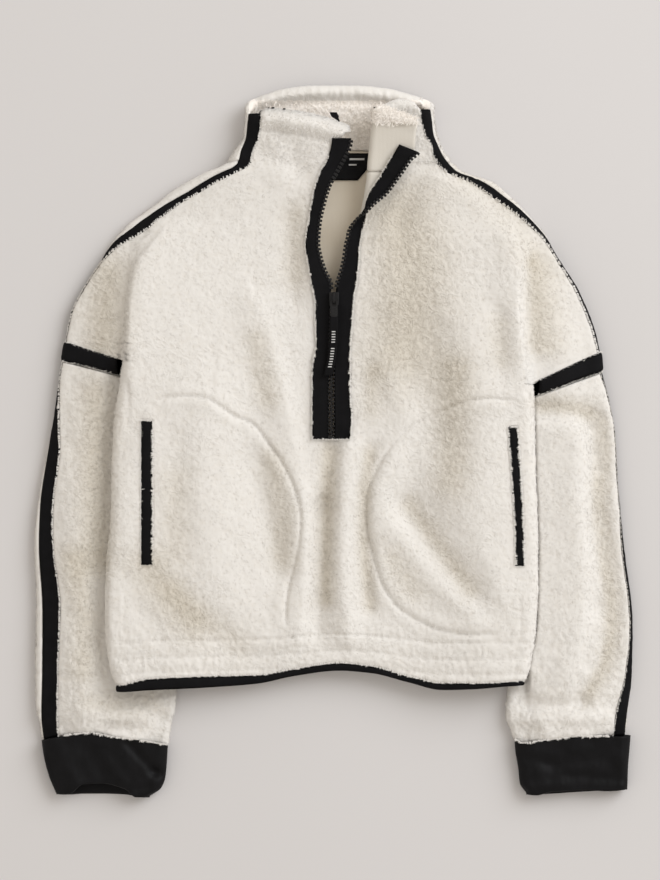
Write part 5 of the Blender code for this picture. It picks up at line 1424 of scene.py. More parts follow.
def band_grid(side, cols=7):
    """The armhole band: over the top fold, round the silhouette, and flat on to the underarm."""
    sign = -1 if side == "left" else 1
    arm = ARM_LEFT if side == "left" else ARM_RIGHT
    t = UPPER_LEFT if side == "left" else UPPER_RIGHT
    reach, y0 = (249, 103) if side == "left" else (236, 90)
    out = float(t("out", y0))
    far = float(unfold(out - reach))
    s = np.concatenate([np.linspace(far, 20, 24), np.linspace(19, -19, 30), np.linspace(-21, -far, 20)])
    inset, _ = fold(s)
    x = sign * (out - inset)
    yt, yl = arm("top", x) - 0.2, arm("low", x) + 0.2
    p = body_place(side, yt, s, True)
    q_s = unfold(np.maximum(SLEEVE[side]("out", yl) - np.abs(x), 0.0)) * np.where(s >= 0, 1, -1)
    q = sleeve_place(side, yl, np.where(np.abs(s) > FOLD_L, q_s, s))
    flat = s < -FOLD_L
    p[flat, 0], p[flat, 1], p[flat, 2] = x[flat], yt[flat], 0.0
    q[flat, 0], q[flat, 1], q[flat, 2] = x[flat], yl[flat], 0.0
    inn = float(SLEEVE[side]("inn", arm("low", -171 if side == "left" else 141))) + 4
    xs = sign * np.linspace(reach, inn, 20)[1:]
    p = np.vstack([p, stack(xs, arm("top", xs) - 0.2, 0.0 * xs)])
    q = np.vstack([q, stack(xs, arm("low", xs) + 0.2, 0.0 * xs)])
    # the outer face stays outside the fleece around the fold
    return spread(q, p, cols)


def hem_grid(front, cols=5):
    x = np.linspace(-254 + 0.0, 220, 220)
    n = 210
    if front:
        t = np.linspace(0, 1, n // 2)
        rows = []
        for side in ("left", "right"):
            y, s, up = half_grid(side, np.array([0.0]), t, front_start(side), lambda q, side=side: -20.0 + 0 * q if side == "left" else -20.0 + 0 * q, 0)
            rows.append(body_place(side, y, s, up)[0])
        top = np.concatenate([rows[0], rows[1][::-1][1:]])
        drop = 0.0
    else:
        t = np.linspace(0, 1, n // 2)
        rows = []
        for side in ("left", "right"):
            y, s, up = half_grid(side, np.array([0.0]), t, lambda q, u, side=side: -back_start(side)(q, u), lambda q: 0.0 * q, 0)
            rows.append(body_place(side, y, -s, up)[0])
        top = np.concatenate([rows[0], rows[1][::-1][1:]])
        drop = 2.0
    xx = top[:, 0]
    f = np.where(xx < 0, ramp((262 - np.abs(xx)) / 14 + 0.25), 1.0)
    at = HEM("up", xx) + (HEM("low", xx) - HEM("up", xx)) * f + drop
    low = top.copy()
    low[:, 1] = np.minimum(at, top[:, 1] - 5.4)
    high = top.copy()
    high[:, 1] -= 0.2
    return spread(low, high, cols).transpose(0, 1, 2)


# ---- cuffs
CUFF_FOLDS = {
    "left": [(-236, -349, -206, -381, 6, -3.4), (-206, -381, -192, -383, 6, -3.0), (-320, -345, -296, -392, 9, 2.0), (-285, -352, -268, -378, 9, -1.8),
             (-330, -365, -322, -395, 6, -2.0), (-258, -372, -236, -400, 8, 1.8), (-214, -398, -240, -404, 5, -1.6), (-304, -400, -262, -392, 7, 1.6)],
    "right": [(214, -362, 250, -372, 7, -1.8), (250, -372, 300, -366, 7, -1.6), (226, -346, 240, -392, 9, 1.5), (300, -346, 322, -380, 9, -1.6),
              (268, -384, 336, -390, 6, -1.9), (330, -345, 335, -398, 7, 1.4), (222, -398, 262, -396, 6, 1.4)],
}


def cuff_grid(side, rows=44, top_cols=96, low_cols=50):
    sign = -1 if side == "left" else 1
    a = np.linspace(0, math.pi, 9)
    def spaced(n):
        f = np.linspace(0, 1, n)
        return 0.5 - 0.5 * np.cos(f * math.pi) * (0.75 + 0.25 * np.abs(np.cos(f * math.pi)))
    f_top = np.clip(spaced(top_cols), 0.003, 0.997)
    f_low = np.clip(spaced(low_cols)[::-1], 0.003, 0.997)
    f = np.concatenate([f_top, f_low])[None, :]
    up = np.concatenate([np.ones(top_cols), -np.ones(low_cols)])[None, :]
    v = np.linspace(0, 1, rows)[:, None]
    y = -341 - 66 * v + 0 * f
    for _ in range(10):
        o, n = CUFF[side]("out", y), CUFF[side]("inn", y)
        x = sign * (o + (n - o) * f)
        y_top = CUFF_LINE[side]("y", x) + 0.4
        y_end = CUFF_END[side]("low", x) + np.where(up > 0, CUFF_END[side]("mouth", x), 0)
        y = y_top + (y_end - y_top) * v
    near = np.minimum(f, 1 - f) * (o - n)
    lift = np.sqrt(np.maximum(0.0, 1 - (1 - np.minimum(near / FOLD_R, 1)) ** 2))
    h = 21.5 - 3.5 * v
    z = h / 2 + up * h / 2 * lift
    top = (up > 0) * lift
    z = z + top * (along(x, y, CUFF_FOLDS[side]) * ramp(near / 6))
    z = z + top * (0.9 * noise(stack(x, y * 0.5, 0 * z), 16, 95) + 0.35 * noise(stack(x * 1.5, y * 0.6, 0 * z), 7, 96))
    return stack(x, y, z)


def make_cuff(side):
    grid = cuff_grid(side)
    grid = np.concatenate([grid, grid[:, :1]], 1)
    skin = Skin()
    r, c = grid.shape[:2]
    idx = np.arange(r * c).reshape(r, c)
    skin.points.append(grid.reshape(-1, 3))
    skin.count = r * c
    idx[:, -1] = idx[:, 0]
    skin.grids.append((idx, np.ones((r - 1, c - 1), bool), (1, 1)))
    skin.solve(1)
    # a ring's normals point out of it
    p = skin.P
    centre = np.array([p[:, 0].mean(), 0, p[:, 2].mean()])
    out = (skin.N * (p - centre) * [0.02, 0, 1])[skin.used].sum()
    if out < 0:
        skin.N, skin.quads, skin.flip = -skin.N, skin.quads[:, ::-1], not skin.flip
        skin.out = skin.out
    end = CUFF_END[side]("low", p[:, 0])
    lift = 0.1 * noise(p, 5, 97) - 0.1
    for off in (3.2, ):
        lift -= 0.35 * np.exp(-((p[:, 1] - end - CUFF_END[side]("mouth", p[:, 0]) * (p[:, 2] > 9) - off) / 0.8) ** 2)
    skin.build(CUFF_WALL, lift, 0.0, 1.1, 0.0, ground=0.08)
    return skin, grid


# ---------------------------------------------------------------- small solids
def rounded_box(center, size, bevel=0.3, taper=1.0):
    """Points and faces of a box with rounded edges; taper narrows its -Y end."""
    bm = bmesh.new()
    bmesh.ops.create_cube(bm, size=1.0)
    for q in bm.verts:
        k = taper if q.co.y < 0 else 1.0
        q.co = Vector((q.co.x * size[0] * k, q.co.y * size[1], q.co.z * size[2]))
    bmesh.ops.bevel(bm, geom=bm.edges[:], offset=bevel, segments=2, profile=0.6, affect="EDGES")
    bm.verts.ensure_lookup_table()
    v = np.array([q.co[:] for q in bm.verts]) + np.array(center, float)
    f = [[q.index for q in face.verts] for face in bm.faces]
    bm.free()
    return v, f


def joined(parts):
    verts, faces, n = [], [], 0
    for v, f in parts:
        verts.append(v)
        faces += [[q + n for q in face] for face in f]
        n += len(v)
    return np.vstack(verts), faces


def placed(template, origins, ax, ay, az):
    """Copies of a small solid with its axes along ax, ay and az at each origin."""
    v, f = template
    n = len(v)
    pts = origins[:, None] + v[None, :, 0:1] * ax[:, None] + v[None, :, 1:2] * ay[:, None] + v[None, :, 2:3] * az[:, None]
    faces = [[q + k * n for q in face] for k in range(len(origins)) for face in f]
    return pts.reshape(-1, 3), faces


def unit(a):
    return a / np.maximum(np.linalg.norm(a, axis=-1, keepdims=True), 1e-9)


def paced(path, pitch, start=0.0, stop=None):
    """Places every pitch mm along a path of points: indices with fractions."""
    seg = np.linalg.norm(np.diff(path, axis=0), axis=1)
    way = np.concatenate([[0], np.cumsum(seg)])
    d = np.arange(start, way[-1] if stop is None else stop, pitch)
    return np.interp(d, way, np.arange(len(path))), d


def at(path, k):
    i = np.clip(k.astype(int), 0, len(path) - 2)
    f = (k - i)[:, None]
    return path[i] * (1 - f) + path[i + 1] * f


# ---- zip
def zip_left_grid():
    y = np.arange(2.2, 349.1, 2.3)
    o, t = ZIP_LEFT("outer", y), ZIP_LEFT("teeth", y)
    lay = 1.0 + WOVEN
    z = front_height(o, y) + lay
    zi = front_height(o + PANEL_UNDER_TAPE, y) + lay
    zi = np.where(y > 176, zi * 0.5 + 0.5 * front_height(-22, y) + 1.4, zi)
    a, b, c = stack(o, y, z), stack(o + PANEL_UNDER_TAPE, y, zi), stack(t, y, zi - 0.3)
    return np.concatenate([spread(a, b, 5), spread(b, c, 6)[:, 1:]], 1)


def zip_right_grid():
    y = np.concatenate([np.arange(2.2, 236.5, 2.3), np.arange(237.5, 340.6, 1.5)])
    low = y <= 238
    yl = np.minimum(y, 238)
    o, t = ZIP_RIGHT_LOW("outer", yl), ZIP_RIGHT_LOW("teeth", yl)
    lay = 1.0 + WOVEN
    z = front_height(o, y) + lay
    zi = front_height(o - PANEL_UNDER_TAPE, y) + lay
    a1, b1, c1 = stack(o, y, z), stack(o - PANEL_UNDER_TAPE, y, zi), stack(t, y, zi - 0.3)
    yh = np.maximum(y, 238)
    r = {n: ZIP_RIGHT_TURN(n, yh) for n in ("ax", "az", "bx", "bz", "cx", "cz")}
    base = front_height(r["ax"] + 4, y) + lay
    over = np.where(yh > 265, np.maximum(base, front_height(r["cx"], y) + lay), base)
    slope = 9.0 * ramp((y - 320) / 20)
    a2 = stack(r["ax"], y, base + r["az"])
    b2 = stack(r["bx"], y - slope / 2, (base + over) / 2 + r["bz"])
    c2 = stack(r["cx"], y - slope, over + r["cz"])
    w = ramp((y - 227) / 11)[:, None]
    a, b, c = a1 * (1 - w) + a2 * w, b1 * (1 - w) + b2 * w, c1 * (1 - w) + c2 * w
    # a smooth crossways bow where the tape turns over
    f = np.linspace(0, 1, 11)[None, :, None]
    flat = np.concatenate([spread(c, b, 6), spread(b, a, 6)[:, 1:]], 1)
    curve = c[:, None] * (1 - f) ** 2 + 2 * (2 * b - 0.5 * (a + c))[:, None] * f * (1 - f) + a[:, None] * f ** 2
    return flat * 0.35 + curve * 0.65


def make_teeth(path, inward, normal, name, y_from, y_to, pitch, offset=0.0):
    """Moulded teeth clamped on the edge of a tape; inward points from the edge into the tape."""
    k, d = paced(path, pitch, offset)
    p = at(path, k)
    keep = (p[:, 1] >= y_from) & (p[:, 1] <= y_to)
    k, p = k[keep], p[keep]
    ahead, behind = at(path, np.minimum(k + 0.6, len(path) - 1.001)), at(path, np.maximum(k - 0.6, 0))
    ay = unit(ahead - behind)
    ax = unit(-at(inward, k))
    az = unit(np.cross(ax, ay))
    ax = unit(np.cross(ay, az))
    body = rounded_box((-0.9, 0, 0), (2.8, 2.5, 3.0), 0.3)
    head = rounded_box((1.2, 0, 0), (2.4, 3.0, 1.9), 0.35)
    return placed(joined([body, head]), p - az * 0.0, ax, ay, az)


def stitches(path, lift_dir, pitch=3.6, length=2.5, width=0.42):
    """A run of thread along a path, each stitch a small rounded bar."""
    k, d = paced(path, pitch, pitch / 2)
    k = k[k < len(path) - 1.01]
    p = at(path, k)
    ay = unit(at(path, np.minimum(k + 0.5, len(path) - 1.001)) - at(path, np.maximum(k - 0.5, 0)))
    az = unit(at(lift_dir, k))
    ax = unit(np.cross(ay, az))
    t = np.array([[-.5, -.5, -.3], [.5, -.5, -.3], [.5, -.5, .25], [-.5, -.5, .25], [-.35, 0, .5], [.35, 0, .5],
                  [-.5, .5, -.3], [.5, .5, -.3], [.5, .5, .25], [-.5, .5, .25]]) * [width, length, width]
    faces = [[0, 1, 2, 3], [3, 2, 5, 4], [4, 5, 8, 9], [7, 6, 9, 8], [0, 6, 7, 1], [1, 7, 8, 5, 2], [6, 0, 3, 4, 9]]
    return placed((t, faces), p, ax, ay, az)


def slider_mesh(x, y, top):
    """Slider: two shaped plates joined by a wedge, side rails, and the bridge for the pull."""
    parts = [rounded_box((x, y + 2.5, top + 1.05), (11.0, 10.5, 2.0), 0.55),      # clear of the pull's eye as it swings
             rounded_box((x, y - 4.6, top + 1.05), (10.6, 8.2, 2.0), 0.55, 0.78),
             rounded_box((x, y, top - 7.0), (10.0, 15.0, 1.8), 0.4),
             rounded_box((x, y + 6.2, top - 3.0), (2.2, 3.6, 7.4), 0.4)]
    for s in (-1, 1):
        parts.append(rounded_box((x + s * 4.9, y - 2.4, top - 0.2), (0.9, 9.0, 1.4), 0.25))
    path = [(5.9, 1.6), (5.9, 3.8), (5.1, 5.4), (3.4, 6.2), (0.4, 6.3), (-2.4, 6.2), (-4.1, 5.2), (-4.9, 3.6), (-4.9, 1.6)]
    bm_v, bm_f = [], []
    w, t = 1.25, 0.62
    pts = np.array(path)
    d = unit(np.gradient(pts, axis=0))
    nrm = np.stack([-d[:, 1], d[:, 0]], -1)
    for i in range(len(pts)):
        for sx, sn in ((-1, -1), (1, -1), (1, 1), (-1, 1)):
            q = pts[i] + nrm[i] * sn * t
            bm_v.append((x + sx * w, y + q[0], top + q[1]))
    for i in range(len(pts) - 1):
        for k in range(4):
            a, b = i * 4 + k, i * 4 + (k + 1) % 4
            bm_f.append([a, b, b + 4, a + 4])
    bm_f.append([3, 2, 1, 0])
    n = len(pts) * 4
    bm_f.append([n - 4, n - 3, n - 2, n - 1])
    parts.append((np.array(bm_v, float), bm_f))
    return joined(parts)


def ring_plate(outer, inner, z0, z1):
    """A flat plate with a hole: two outlines with the same number of points."""
    n = len(outer)
    v = np.array([(*p, z1) for p in outer] + [(*p, z1) for p in inner] + [(*p, z0) for p in outer] + [(*p, z0) for p in inner], float)
    f = []
    for i in range(n):
        j = (i + 1) % n
        f += [[i, j, n + j, n + i], [2 * n + j, 2 * n + i, 3 * n + i, 3 * n + j], [i, 2 * n + i, 2 * n + j, j], [n + j, 3 * n + j, 3 * n + i, n + i]]
    return v, f


def rounded_outline(x, y, w, h, r, n=6):
    pts = []
    for cx, cy, a0 in ((x + w / 2 - r, y + h / 2 - r, 0), (x - w / 2 + r, y + h / 2 - r, 90), (x - w / 2 + r, y - h / 2 + r, 180), (x + w / 2 - r, y - h / 2 + r, 270)):
        for k in range(n):
            a = math.radians(a0 + 90 * k / (n - 1))
            pts.append((cx + r * math.cos(a), cy + r * math.sin(a)))
    return pts


# ---- loose pile
def blades(root, mid, tip, up, width):
    """Fine curved blades: five points and two faces each, the flat of the blade turned up."""
    side = unit(np.cross(tip - root, up)) * (np.broadcast_to(width, len(root)) / 2)[:, None]
    v = np.stack([root - side, root + side, mid + side * 0.9, mid - side * 0.9, tip], 1).reshape(-1, 3)
    k = np.arange(len(root))[:, None] * 5
    return v, (k + [0, 1, 2, 3]).tolist() + (k + [3, 2, 4]).tolist()


def cover(skin, count, weight, rng, length=(3.4, 6.4), width=0.72, stand=0.75):
    """Blades over the outer face of a shell, lying every way, and standing a little off it."""
    q = skin.quads
    a, b, c, d = (skin.outer_now[q[:, k]] for k in range(4))
    area = 0.5 * np.linalg.norm(np.cross(c - a, d - b), axis=1)
    mid_p, mid_n = (a + b + c + d) / 4, unit(skin.N[q].mean(1))
    w = area * weight(mid_p, mid_n)
    pick = rng.choice(len(q), size=count, p=w / w.sum())
    u, v = rng.random(count)[:, None], rng.random(count)[:, None]
    pt = (a[pick] * (1 - u) + b[pick] * u) * (1 - v) + (d[pick] * (1 - u) + c[pick] * u) * v
    n = mid_n[pick]
    t = unit(np.cross(n, rng.normal(size=(count, 3))))
    t2 = np.cross(n, t)
    L = rng.uniform(*length, count)
    L = np.minimum(L, 0.6 + 0.75 * skin.away[q].min(1)[pick])[:, None]         # none reaches over a seam
    bend = rng.uniform(-0.55, 0.55, count)[:, None]
    h = rng.uniform(0.35, 1.0, count)[:, None] * stand
    side = np.clip(1.6 - 1.6 * np.abs(n[:, 2:3]), 0.0, 1.0)          # it stands further out where it is seen from the side
    h = h * (1 + 0.8 * side)
    root = pt - n * 0.5
    mid = pt + t * L * 0.45 + n * h * 0.9
    tip = pt + t * L * 0.85 + t2 * L * bend + n * h * rng.uniform(0.2, 1.3, count)[:, None]
    return blades(root, mid, tip, n, width)


def tufts(points, up, count, rng, length=(3.0, 5.5), width=0.9, stand=1.6):
    """Blades over given points of a face, for pile that stands up in curls."""
    k = rng.integers(0, len(points), count)
    n = up[k]
    t = unit(np.cross(n, rng.normal(size=(count, 3))))
    t2 = np.cross(n, t)
    root = points[k] + t * rng.normal(0, 0.9, count)[:, None] + t2 * rng.normal(0, 0.9, count)[:, None] - n * 0.5
    L = rng.uniform(*length, count)[:, None]
    h = rng.uniform(0.4, 1.0, count)[:, None] * stand
    mid = root + t * L * 0.45 + n * (0.5 + h)
    tip = root + t * L * 0.85 + t2 * L * rng.uniform(-0.6, 0.6, count)[:, None] + n * (0.4 + h * rng.uniform(0.1, 0.9, count)[:, None])
    return blades(root, mid, tip, n, width)


def fringe(edge, away, up, rng, every=2.7, each=9, reach=(0.9, 0.75), lift=0.0, width=0.62):
    """Clumps of pile that fall over the edge of a trim.  edge: points along it; away: from the trim to the pile."""
    k, _ = paced(edge, every, rng.uniform(0, every))
    k = np.clip(k + rng.normal(0, 0.25, len(k)), 0, len(edge) - 1.01)
    r = np.clip(rng.normal(reach[0], reach[1], len(k)), -0.4, 2.9)
    k, r = np.repeat(k, each), np.repeat(r, each)
    n = len(k)
    e, a, z = at(edge, k), unit(at(away, k)), unit(at(up, k))
    run = unit(np.cross(a, z))
    shift = rng.normal(0, 0.8, n)[:, None] * run
    root = e + shift + a * rng.uniform(0.4, 2.0, n)[:, None] - z * 0.4 + z * lift
    tip = e + shift * 1.3 + run * rng.normal(0, 0.55, n)[:, None] - a * (r * rng.uniform(0.45, 1.0, n))[:, None] + z * (lift + rng.uniform(-0.5, 0.7, n)[:, None])
    mid = (root + tip) / 2 + z * rng.uniform(0.5, 1.1, n)[:, None] + run * rng.normal(0, 0.3, n)[:, None]
    return blades(root, mid, tip, z, width)


def strip_edges(grid, up):
    """The two long edges of a strip of points: edge, way off the strip, normals."""
    run = np.gradient(grid.mean(1), axis=0)
    across = grid[:, -1] - grid[:, 0]
    n = unit(np.cross(across, run)) if up > 0 else -unit(np.cross(across, run))
    top = n[:, 2].mean() * up
    n = n if top > 0 else -n
    return [(grid[:, 0], grid[:, 0] - grid[:, 1], n), (grid[:, -1], grid[:, -1] - grid[:, -2], n)]


def loose_pile(name, parts, mat=None):
    verts, faces = joined(parts)
    verts[:, 2] = np.maximum(verts[:, 2], 0.1)
    ob = as_object(name, verts, faces, [mat or LOOSE])
    # the blades carry the same painted shade
    paint_shade(ob, verts)
    return ride(ob)


# ---------------------------------------------------------------- making
ALL = {}
front_skin, front_grid = make_front()
front = shell_object("front_panel", front_skin, [PILE, LAPEL_REVERSE], "front")
back_skin, back_grid = make_back()
back = shell_object("back_panel", back_skin, [PILE, REVERSE], "back")
sleeves = {}
for side in ("left", "right"):
    for top in (True, False):
        skin, grid = make_sleeve(side, top)
        name = ("sleeve_front_" if top else "sleeve_back_") + side
        sleeves[side, top] = (skin, grid, shell_object(name + "_pile", skin, [PILE, REVERSE], name))
collars = {}
for side in ("left", "right"):
    skin, grid = make_collar_front(side)
    # the right collar's turned-back top takes the brighter painted-light pile
    mats = [PILE] if side == "left" else [PILE, PILE_PAINTED_LIGHT, LAPEL_REVERSE]
    collars[side] = (skin, grid, shell_object("collar_front_%s_pile" % side, skin, mats, "collar_front_" + side,
                                              pick=None if side == "left" else
                                              lambda c: 0 if c[0] > 95 else 1 if c[1] > LAPEL_PILE + 1.5 else None))
skin, grid = make_collar_back()
# the inside of the collar back takes the brighter painted-light pile
collars["back"] = (skin, grid, shell_object("collar_back_pile", skin, [PILE, PILE_PAINTED_LIGHT], "collar_back",
                                            pick=lambda c: 0 if c[1] > 392 else None))

strips = {}
for side in ("left", "right"):
    g = shoulder_tape_grid(side)
    strips["shoulder_tape_" + side] = (g,) + strip_shell("shoulder_tape_%s_woven" % side, g, 1, WOVEN, "shoulder_tape_" + side, TAPE,
                                                       pucker=0.35, drop=0.7, edge=0.25, seed=1, extend=1.0)
    g = sleeve_tape_grid(side)
    strips["sleeve_tape_" + side] = (g,) + strip_shell("sleeve_tape_%s_woven" % side, g, 1, WOVEN, "sleeve_tape_" + side, TAPE,
                                                     pucker=0.35, drop=0.7, edge=0.25, seed=2, extend=1.0)
    g = band_grid(side)
    strips["armhole_band_" + side] = (g,) + strip_shell("armhole_band_%s_woven" % side, g, 1, WOVEN, "armhole_band_" + side, TAPE,
                                                      crown=0.5, pucker=0.3, drop=0.5, edge=0.0, seed=3, extend=0.9)
    skin, g = make_cuff(side)
    strips["cuff_" + side] = (g, skin, shell_object("cuff_%s_woven" % side, skin, [CUFF_CLOTH], "cuff_" + side))
for which in ("front", "back"):
    g = hem_grid(which == "front")
    strips["hem_" + which] = (g,) + strip_shell("hem_binding_%s_woven" % which, g, 1 if which == "front" else -1, WOVEN + 0.6,
                                                "hem_binding_" + which, TAPE, crown=0.5, pucker=0.45, drop=0.4, seed=4, radius=1.2)

# zip
zl, zr = zip_left_grid(), zip_right_grid()
zip_l = strip_shell("zip_tape_left_woven", zl, 1, 1.2, "zip_tape_left", TAPE, pucker=0.22, drop=1.2, edge=0.15, seed=5, fray=0.35)
low_rows = zr[:, 0, 1] < 232
zip_r = strip_shell("zip_tape_right_woven", zr, 1, 1.2, "zip_tape_right", TAPE, pucker=0.22, drop=1.2, edge=0.15, seed=6, fray=0.35)
parts = []
nl_, nr_ = zip_l[0].N.reshape(zl.shape), zip_r[0].N.reshape(zr.shape)
left_edge, left_in = zl[:, -1] - nl_[:, -1] * 1.8, zl[:, -2] - zl[:, -1]
right_edge, right_in = zr[:, 0] - nr_[:, 0] * 1.8, zr[:, 1] - zr[:, 0]
parts.append(make_teeth(left_edge, left_in, nl_[:, -1], "l", 174, 347.5, 4.7))
parts.append(make_teeth(right_edge, right_in, nr_[:, 0], "r", 174, 333, 4.7, 2.3))
teeth = ride(as_object("zip_teeth", *joined(parts), [MOULDED], smooth=False))
y = np.arange(3.0, 158, 2.35)
cx = (ZIP_LEFT("teeth", y) + ZIP_RIGHT_LOW("teeth", y)) / 2
cz = front_height(-17 + 0 * y, y) + 1.9
side_ = np.where(np.arange(len(y)) % 2, 1.0, -1.0)
org = stack(cx - side_ * 0.9, y, cz)
one = np.ones((len(y), 3))
chain = placed(joined([rounded_box((-1.5, 0, 0), (3.2, 1.9, 2.6), 0.3), rounded_box((0.9, 0, 0), (2.2, 2.2, 1.8), 0.35)]),
               org, stack(side_, 0 * y, 0 * y), one * [0, 1, 0], one * [0, 0, 1] * side_[:, None])
chain = ride(as_object("zip_chain_teeth", *joined([chain, rounded_box((-3, 3.4, cz[0] + 0.2), (8.0, 2.6, 2.6), 0.5)]), [MOULDED], smooth=False),
             node="zip_chain")
ZIP_Z = float(front_height(-17, 120)) + 1.0 + WOVEN
SX, SY, ST = 0.0, 163.0, ZIP_Z + 2.4
slider = ride(as_object("zip_slider_body", *slider_mesh(SX, SY, ST), [MOULDED], smooth=False), node="zip_slider")
HINGE = (SX, SY - 1.6, ST + 3.6)
tab = joined([ring_plate(rounded_outline(SX, HINGE[1] - 8.9, 8.6, 20.2, 2.2), rounded_outline(SX, HINGE[1] - 3.6, 4.6, 5.8, 1.2), HINGE[2] - 0.75, HINGE[2] + 0.75),
              rounded_box((SX, HINGE[1] - 12.8, HINGE[2] + 0.6), (5.2, 9.0, 0.9), 0.4)])
tab = ride(as_object("pull_tab_moulded", *tab, [MOULDED], smooth=False), "zip_pull", "pull_tab")
RIBBON = Table("d x half", [(0, 0, 4.8), (22, -0.4, 5.0), (44, -2.0, 5.0), (70, -7.0, 5.0)])
d = np.linspace(-1.6, 70, 49)                       # its end is held in the tab's foot
f = np.linspace(-1, 1, 9)[None, :]
rx, rh = RIBBON("x", d)[:, None], RIBBON("half", d)[:, None]
ry = HINGE[1] - 19.6 - d[:, None] * 0.965 + 0.06 * rh * ramp(d / 40)[:, None] * (1 + f)
rz = HINGE[2] + 0.9 - 1.6 * ramp(d / 40)[:, None] + 0.25 * np.sin(d / 9.0)[:, None]
rib = stack(SX + rx + rh * f, ry, rz)
rib_skin = Skin()
rib_skin.add(rib)
rib_skin.solve(1)
rib_skin.build(1.5, 0.12 * noise(rib_skin.P, 6, 99) - 0.1, 0.0, 0.6, 0.0)
ribbon = shell_object("pull_ribbon_woven", rib_skin, [TAPE], "pull_ribbon", "zip_pull")
marks = []
for d0 in list(np.arange(17, 30, 3.1)) + list(np.arange(37, 61, 3.1)):
    x, y_ = float(RIBBON("x", d0)), HINGE[1] - 19.6 - d0 * 0.965
    z = HINGE[2] + 0.9 - 1.6 * float(ramp(d0 / 40)) + 0.25 * math.sin(d0 / 9.0)
    marks.append(rounded_box((SX + x - 0.2, y_, z + 0.1), (4.2, 1.1, 0.35), 0.12))
marks = ride(as_object("pull_ribbon_marks", *joined(marks), [THREAD_WHITE], smooth=False), "zip_pull")

# welts
welts = {}
for side, sign in (("left", -1), ("right", 1)):
    lo, hi = (-142.2, 23.2) if side == "left" else (-143.2, 16.2)
    y = np.arange(lo, hi, 2.2)
    a = sign * (GUIDE[side]("outer", y) - 0.1)
    b = sign * (GUIDE[side]("inner", y) + 0.1)
    f = np.linspace(0, 1, 8)[None, :]
    xx = a[:, None] * (1 - f) + b[:, None] * f
    yy = y[:, None] + 0 * f
    g = stack(xx, yy, front_height(xx, yy) + 0.4)
    if sign > 0:
        g = g[:, ::-1]
    skin = Skin()
    skin.add(g)
    skin.solve(1)
    p = skin.P
    across = np.tile(np.linspace(-1, 1, 8), len(y))
    skin.build(2.6, 0.9 * (1 - across ** 2) - 0.5 + 0.2 * noise(p, 7, 61) - 0.35 * np.exp(-((across + 0.55) / 0.16) ** 2), 0.0, 1.0, 0.4)
    welts[side] = (g, skin, shell_object("welt_%s_woven" % side, skin, [TAPE], "welt_" + side))

# pocket bags
bags = {}
for side in ("left", "right"):
    sign = -1 if side == "left" else 1
    y = np.linspace(-216, 44, 60)[:, None]
    f = np.linspace(0, 1, 44)[None, :]
    outer, reach = GUIDE[side]("outer", y) + 3, BAG[side]("reach", y)
    x = sign * (outer + (reach - outer) * f)
    g = stack(x, y + 0 * f, front_height(x, y + 0 * f) - FLEECE - 5.0)
    skin = Skin()
    skin.add(g)
    skin.solve(1)
    skin.build(0.9, 0.2 * noise(skin.P, 18, 62), 0.0, 0.5, 0.0)
    bags[side] = (g, skin, shell_object("pocket_bag_%s_cloth" % side, skin, [BAG_CLOTH], "pocket_bag_" + side))

# label in the back neck, bare but for two plain bars
rows = []
lab_y = np.array([300.5, 303, 306, 309, 312.3, 315.5, 319, 323, 327.5, 332])
lab_cut = np.interp(lab_y, [300.5, 315.5, 332], [12.5, 0, 0])
f = np.linspace(0, 1, 24)[None, :]
xa, xb = (-24 + lab_cut)[:, None], (40 - lab_cut)[:, None]
g = stack(xa + (xb - xa) * f, lab_y[:, None] + 0 * f, 5.95 + 0.35 * np.sin(f * 3.1) + 0.25 * ((332 - lab_y) / 31)[:, None])
skin = Skin()
skin.add(g)
skin.solve(1)
skin.build(0.9, 0.05 * noise(skin.P, 8, 63), 0.0, 0.4, 0.0)
label = (g, skin, shell_object("neck_label_woven", skin, [LABEL_CLOTH], "neck_label"))
bars = ride(as_object("neck_label_bars", *joined([rounded_box((26.5, 325.0, 6.35), (17.0, 2.2, 0.3), 0.1), rounded_box((21.5, 318.5, 6.4), (9.0, 1.7, 0.3), 0.1)]),
                      [THREAD_WHITE], smooth=False))

# end of the zip's tape, turned in over the collar's rim, and the bar tacks that hold the tapes there
f = np.linspace(0, 1, 9)[None, :]
y = np.linspace(361, 377.5, 14)
wide = np.interp(y, [361, 367.5, 370, 372.5, 377.5], [0.6, 1.2, 2.4, 4.4, 4.2])[:, None]
mid = np.interp(y, [361, 367.5, 371, 377.5], [5.2, 5.6, 2.0, -1.0])[:, None]
g = stack(mid + wide * (2 * f - 1), y[:, None] + 0 * f, np.interp(y, [358, 367, 371, 377.5], [34.4, 35.2, 34.2, 32.0])[:, None] + 0 * f)
skin = Skin()
skin.add(g)
skin.solve(1)
skin.build(1.6, 0.5 * noise(skin.P, 4, 64), 0.0, 0.8, 0.0)
end_piece = (g, skin, shell_object("zip_tape_end_woven", skin, [TAPE], "zip_tape_end"))


def rim_near(x, y, skins):
    """Point of some raised shells nearest to a place seen from above, on their upper side."""
    v = np.concatenate([sk_.verts for sk_ in skins])
    v = v[v[:, 2] > 25]
    d = np.hypot(v[:, 0] - x, v[:, 1] - y)
    v = v[d < d.min() + 0.8]
    return v[v[:, 2].argmax()]


tacks = []
for x, y_, sx, sy in ((-71.5, 381.0, 3.4, 1.6), (-76.5, 379.6, 1.6, 1.2), (-58.0, 383.6, 3.0, 1.5), (48.0, 381.4, 3.2, 1.7)):
    p = rim_near(x, y_, [c[0] for c in collars.values()])
    tacks.append(rounded_box((p[0], p[1], p[2] - 0.1), (sx, sy, 1.6), 0.35))
tacks = ride(as_object("rim_thread_tacks", *joined(tacks), [TAPE], smooth=False))


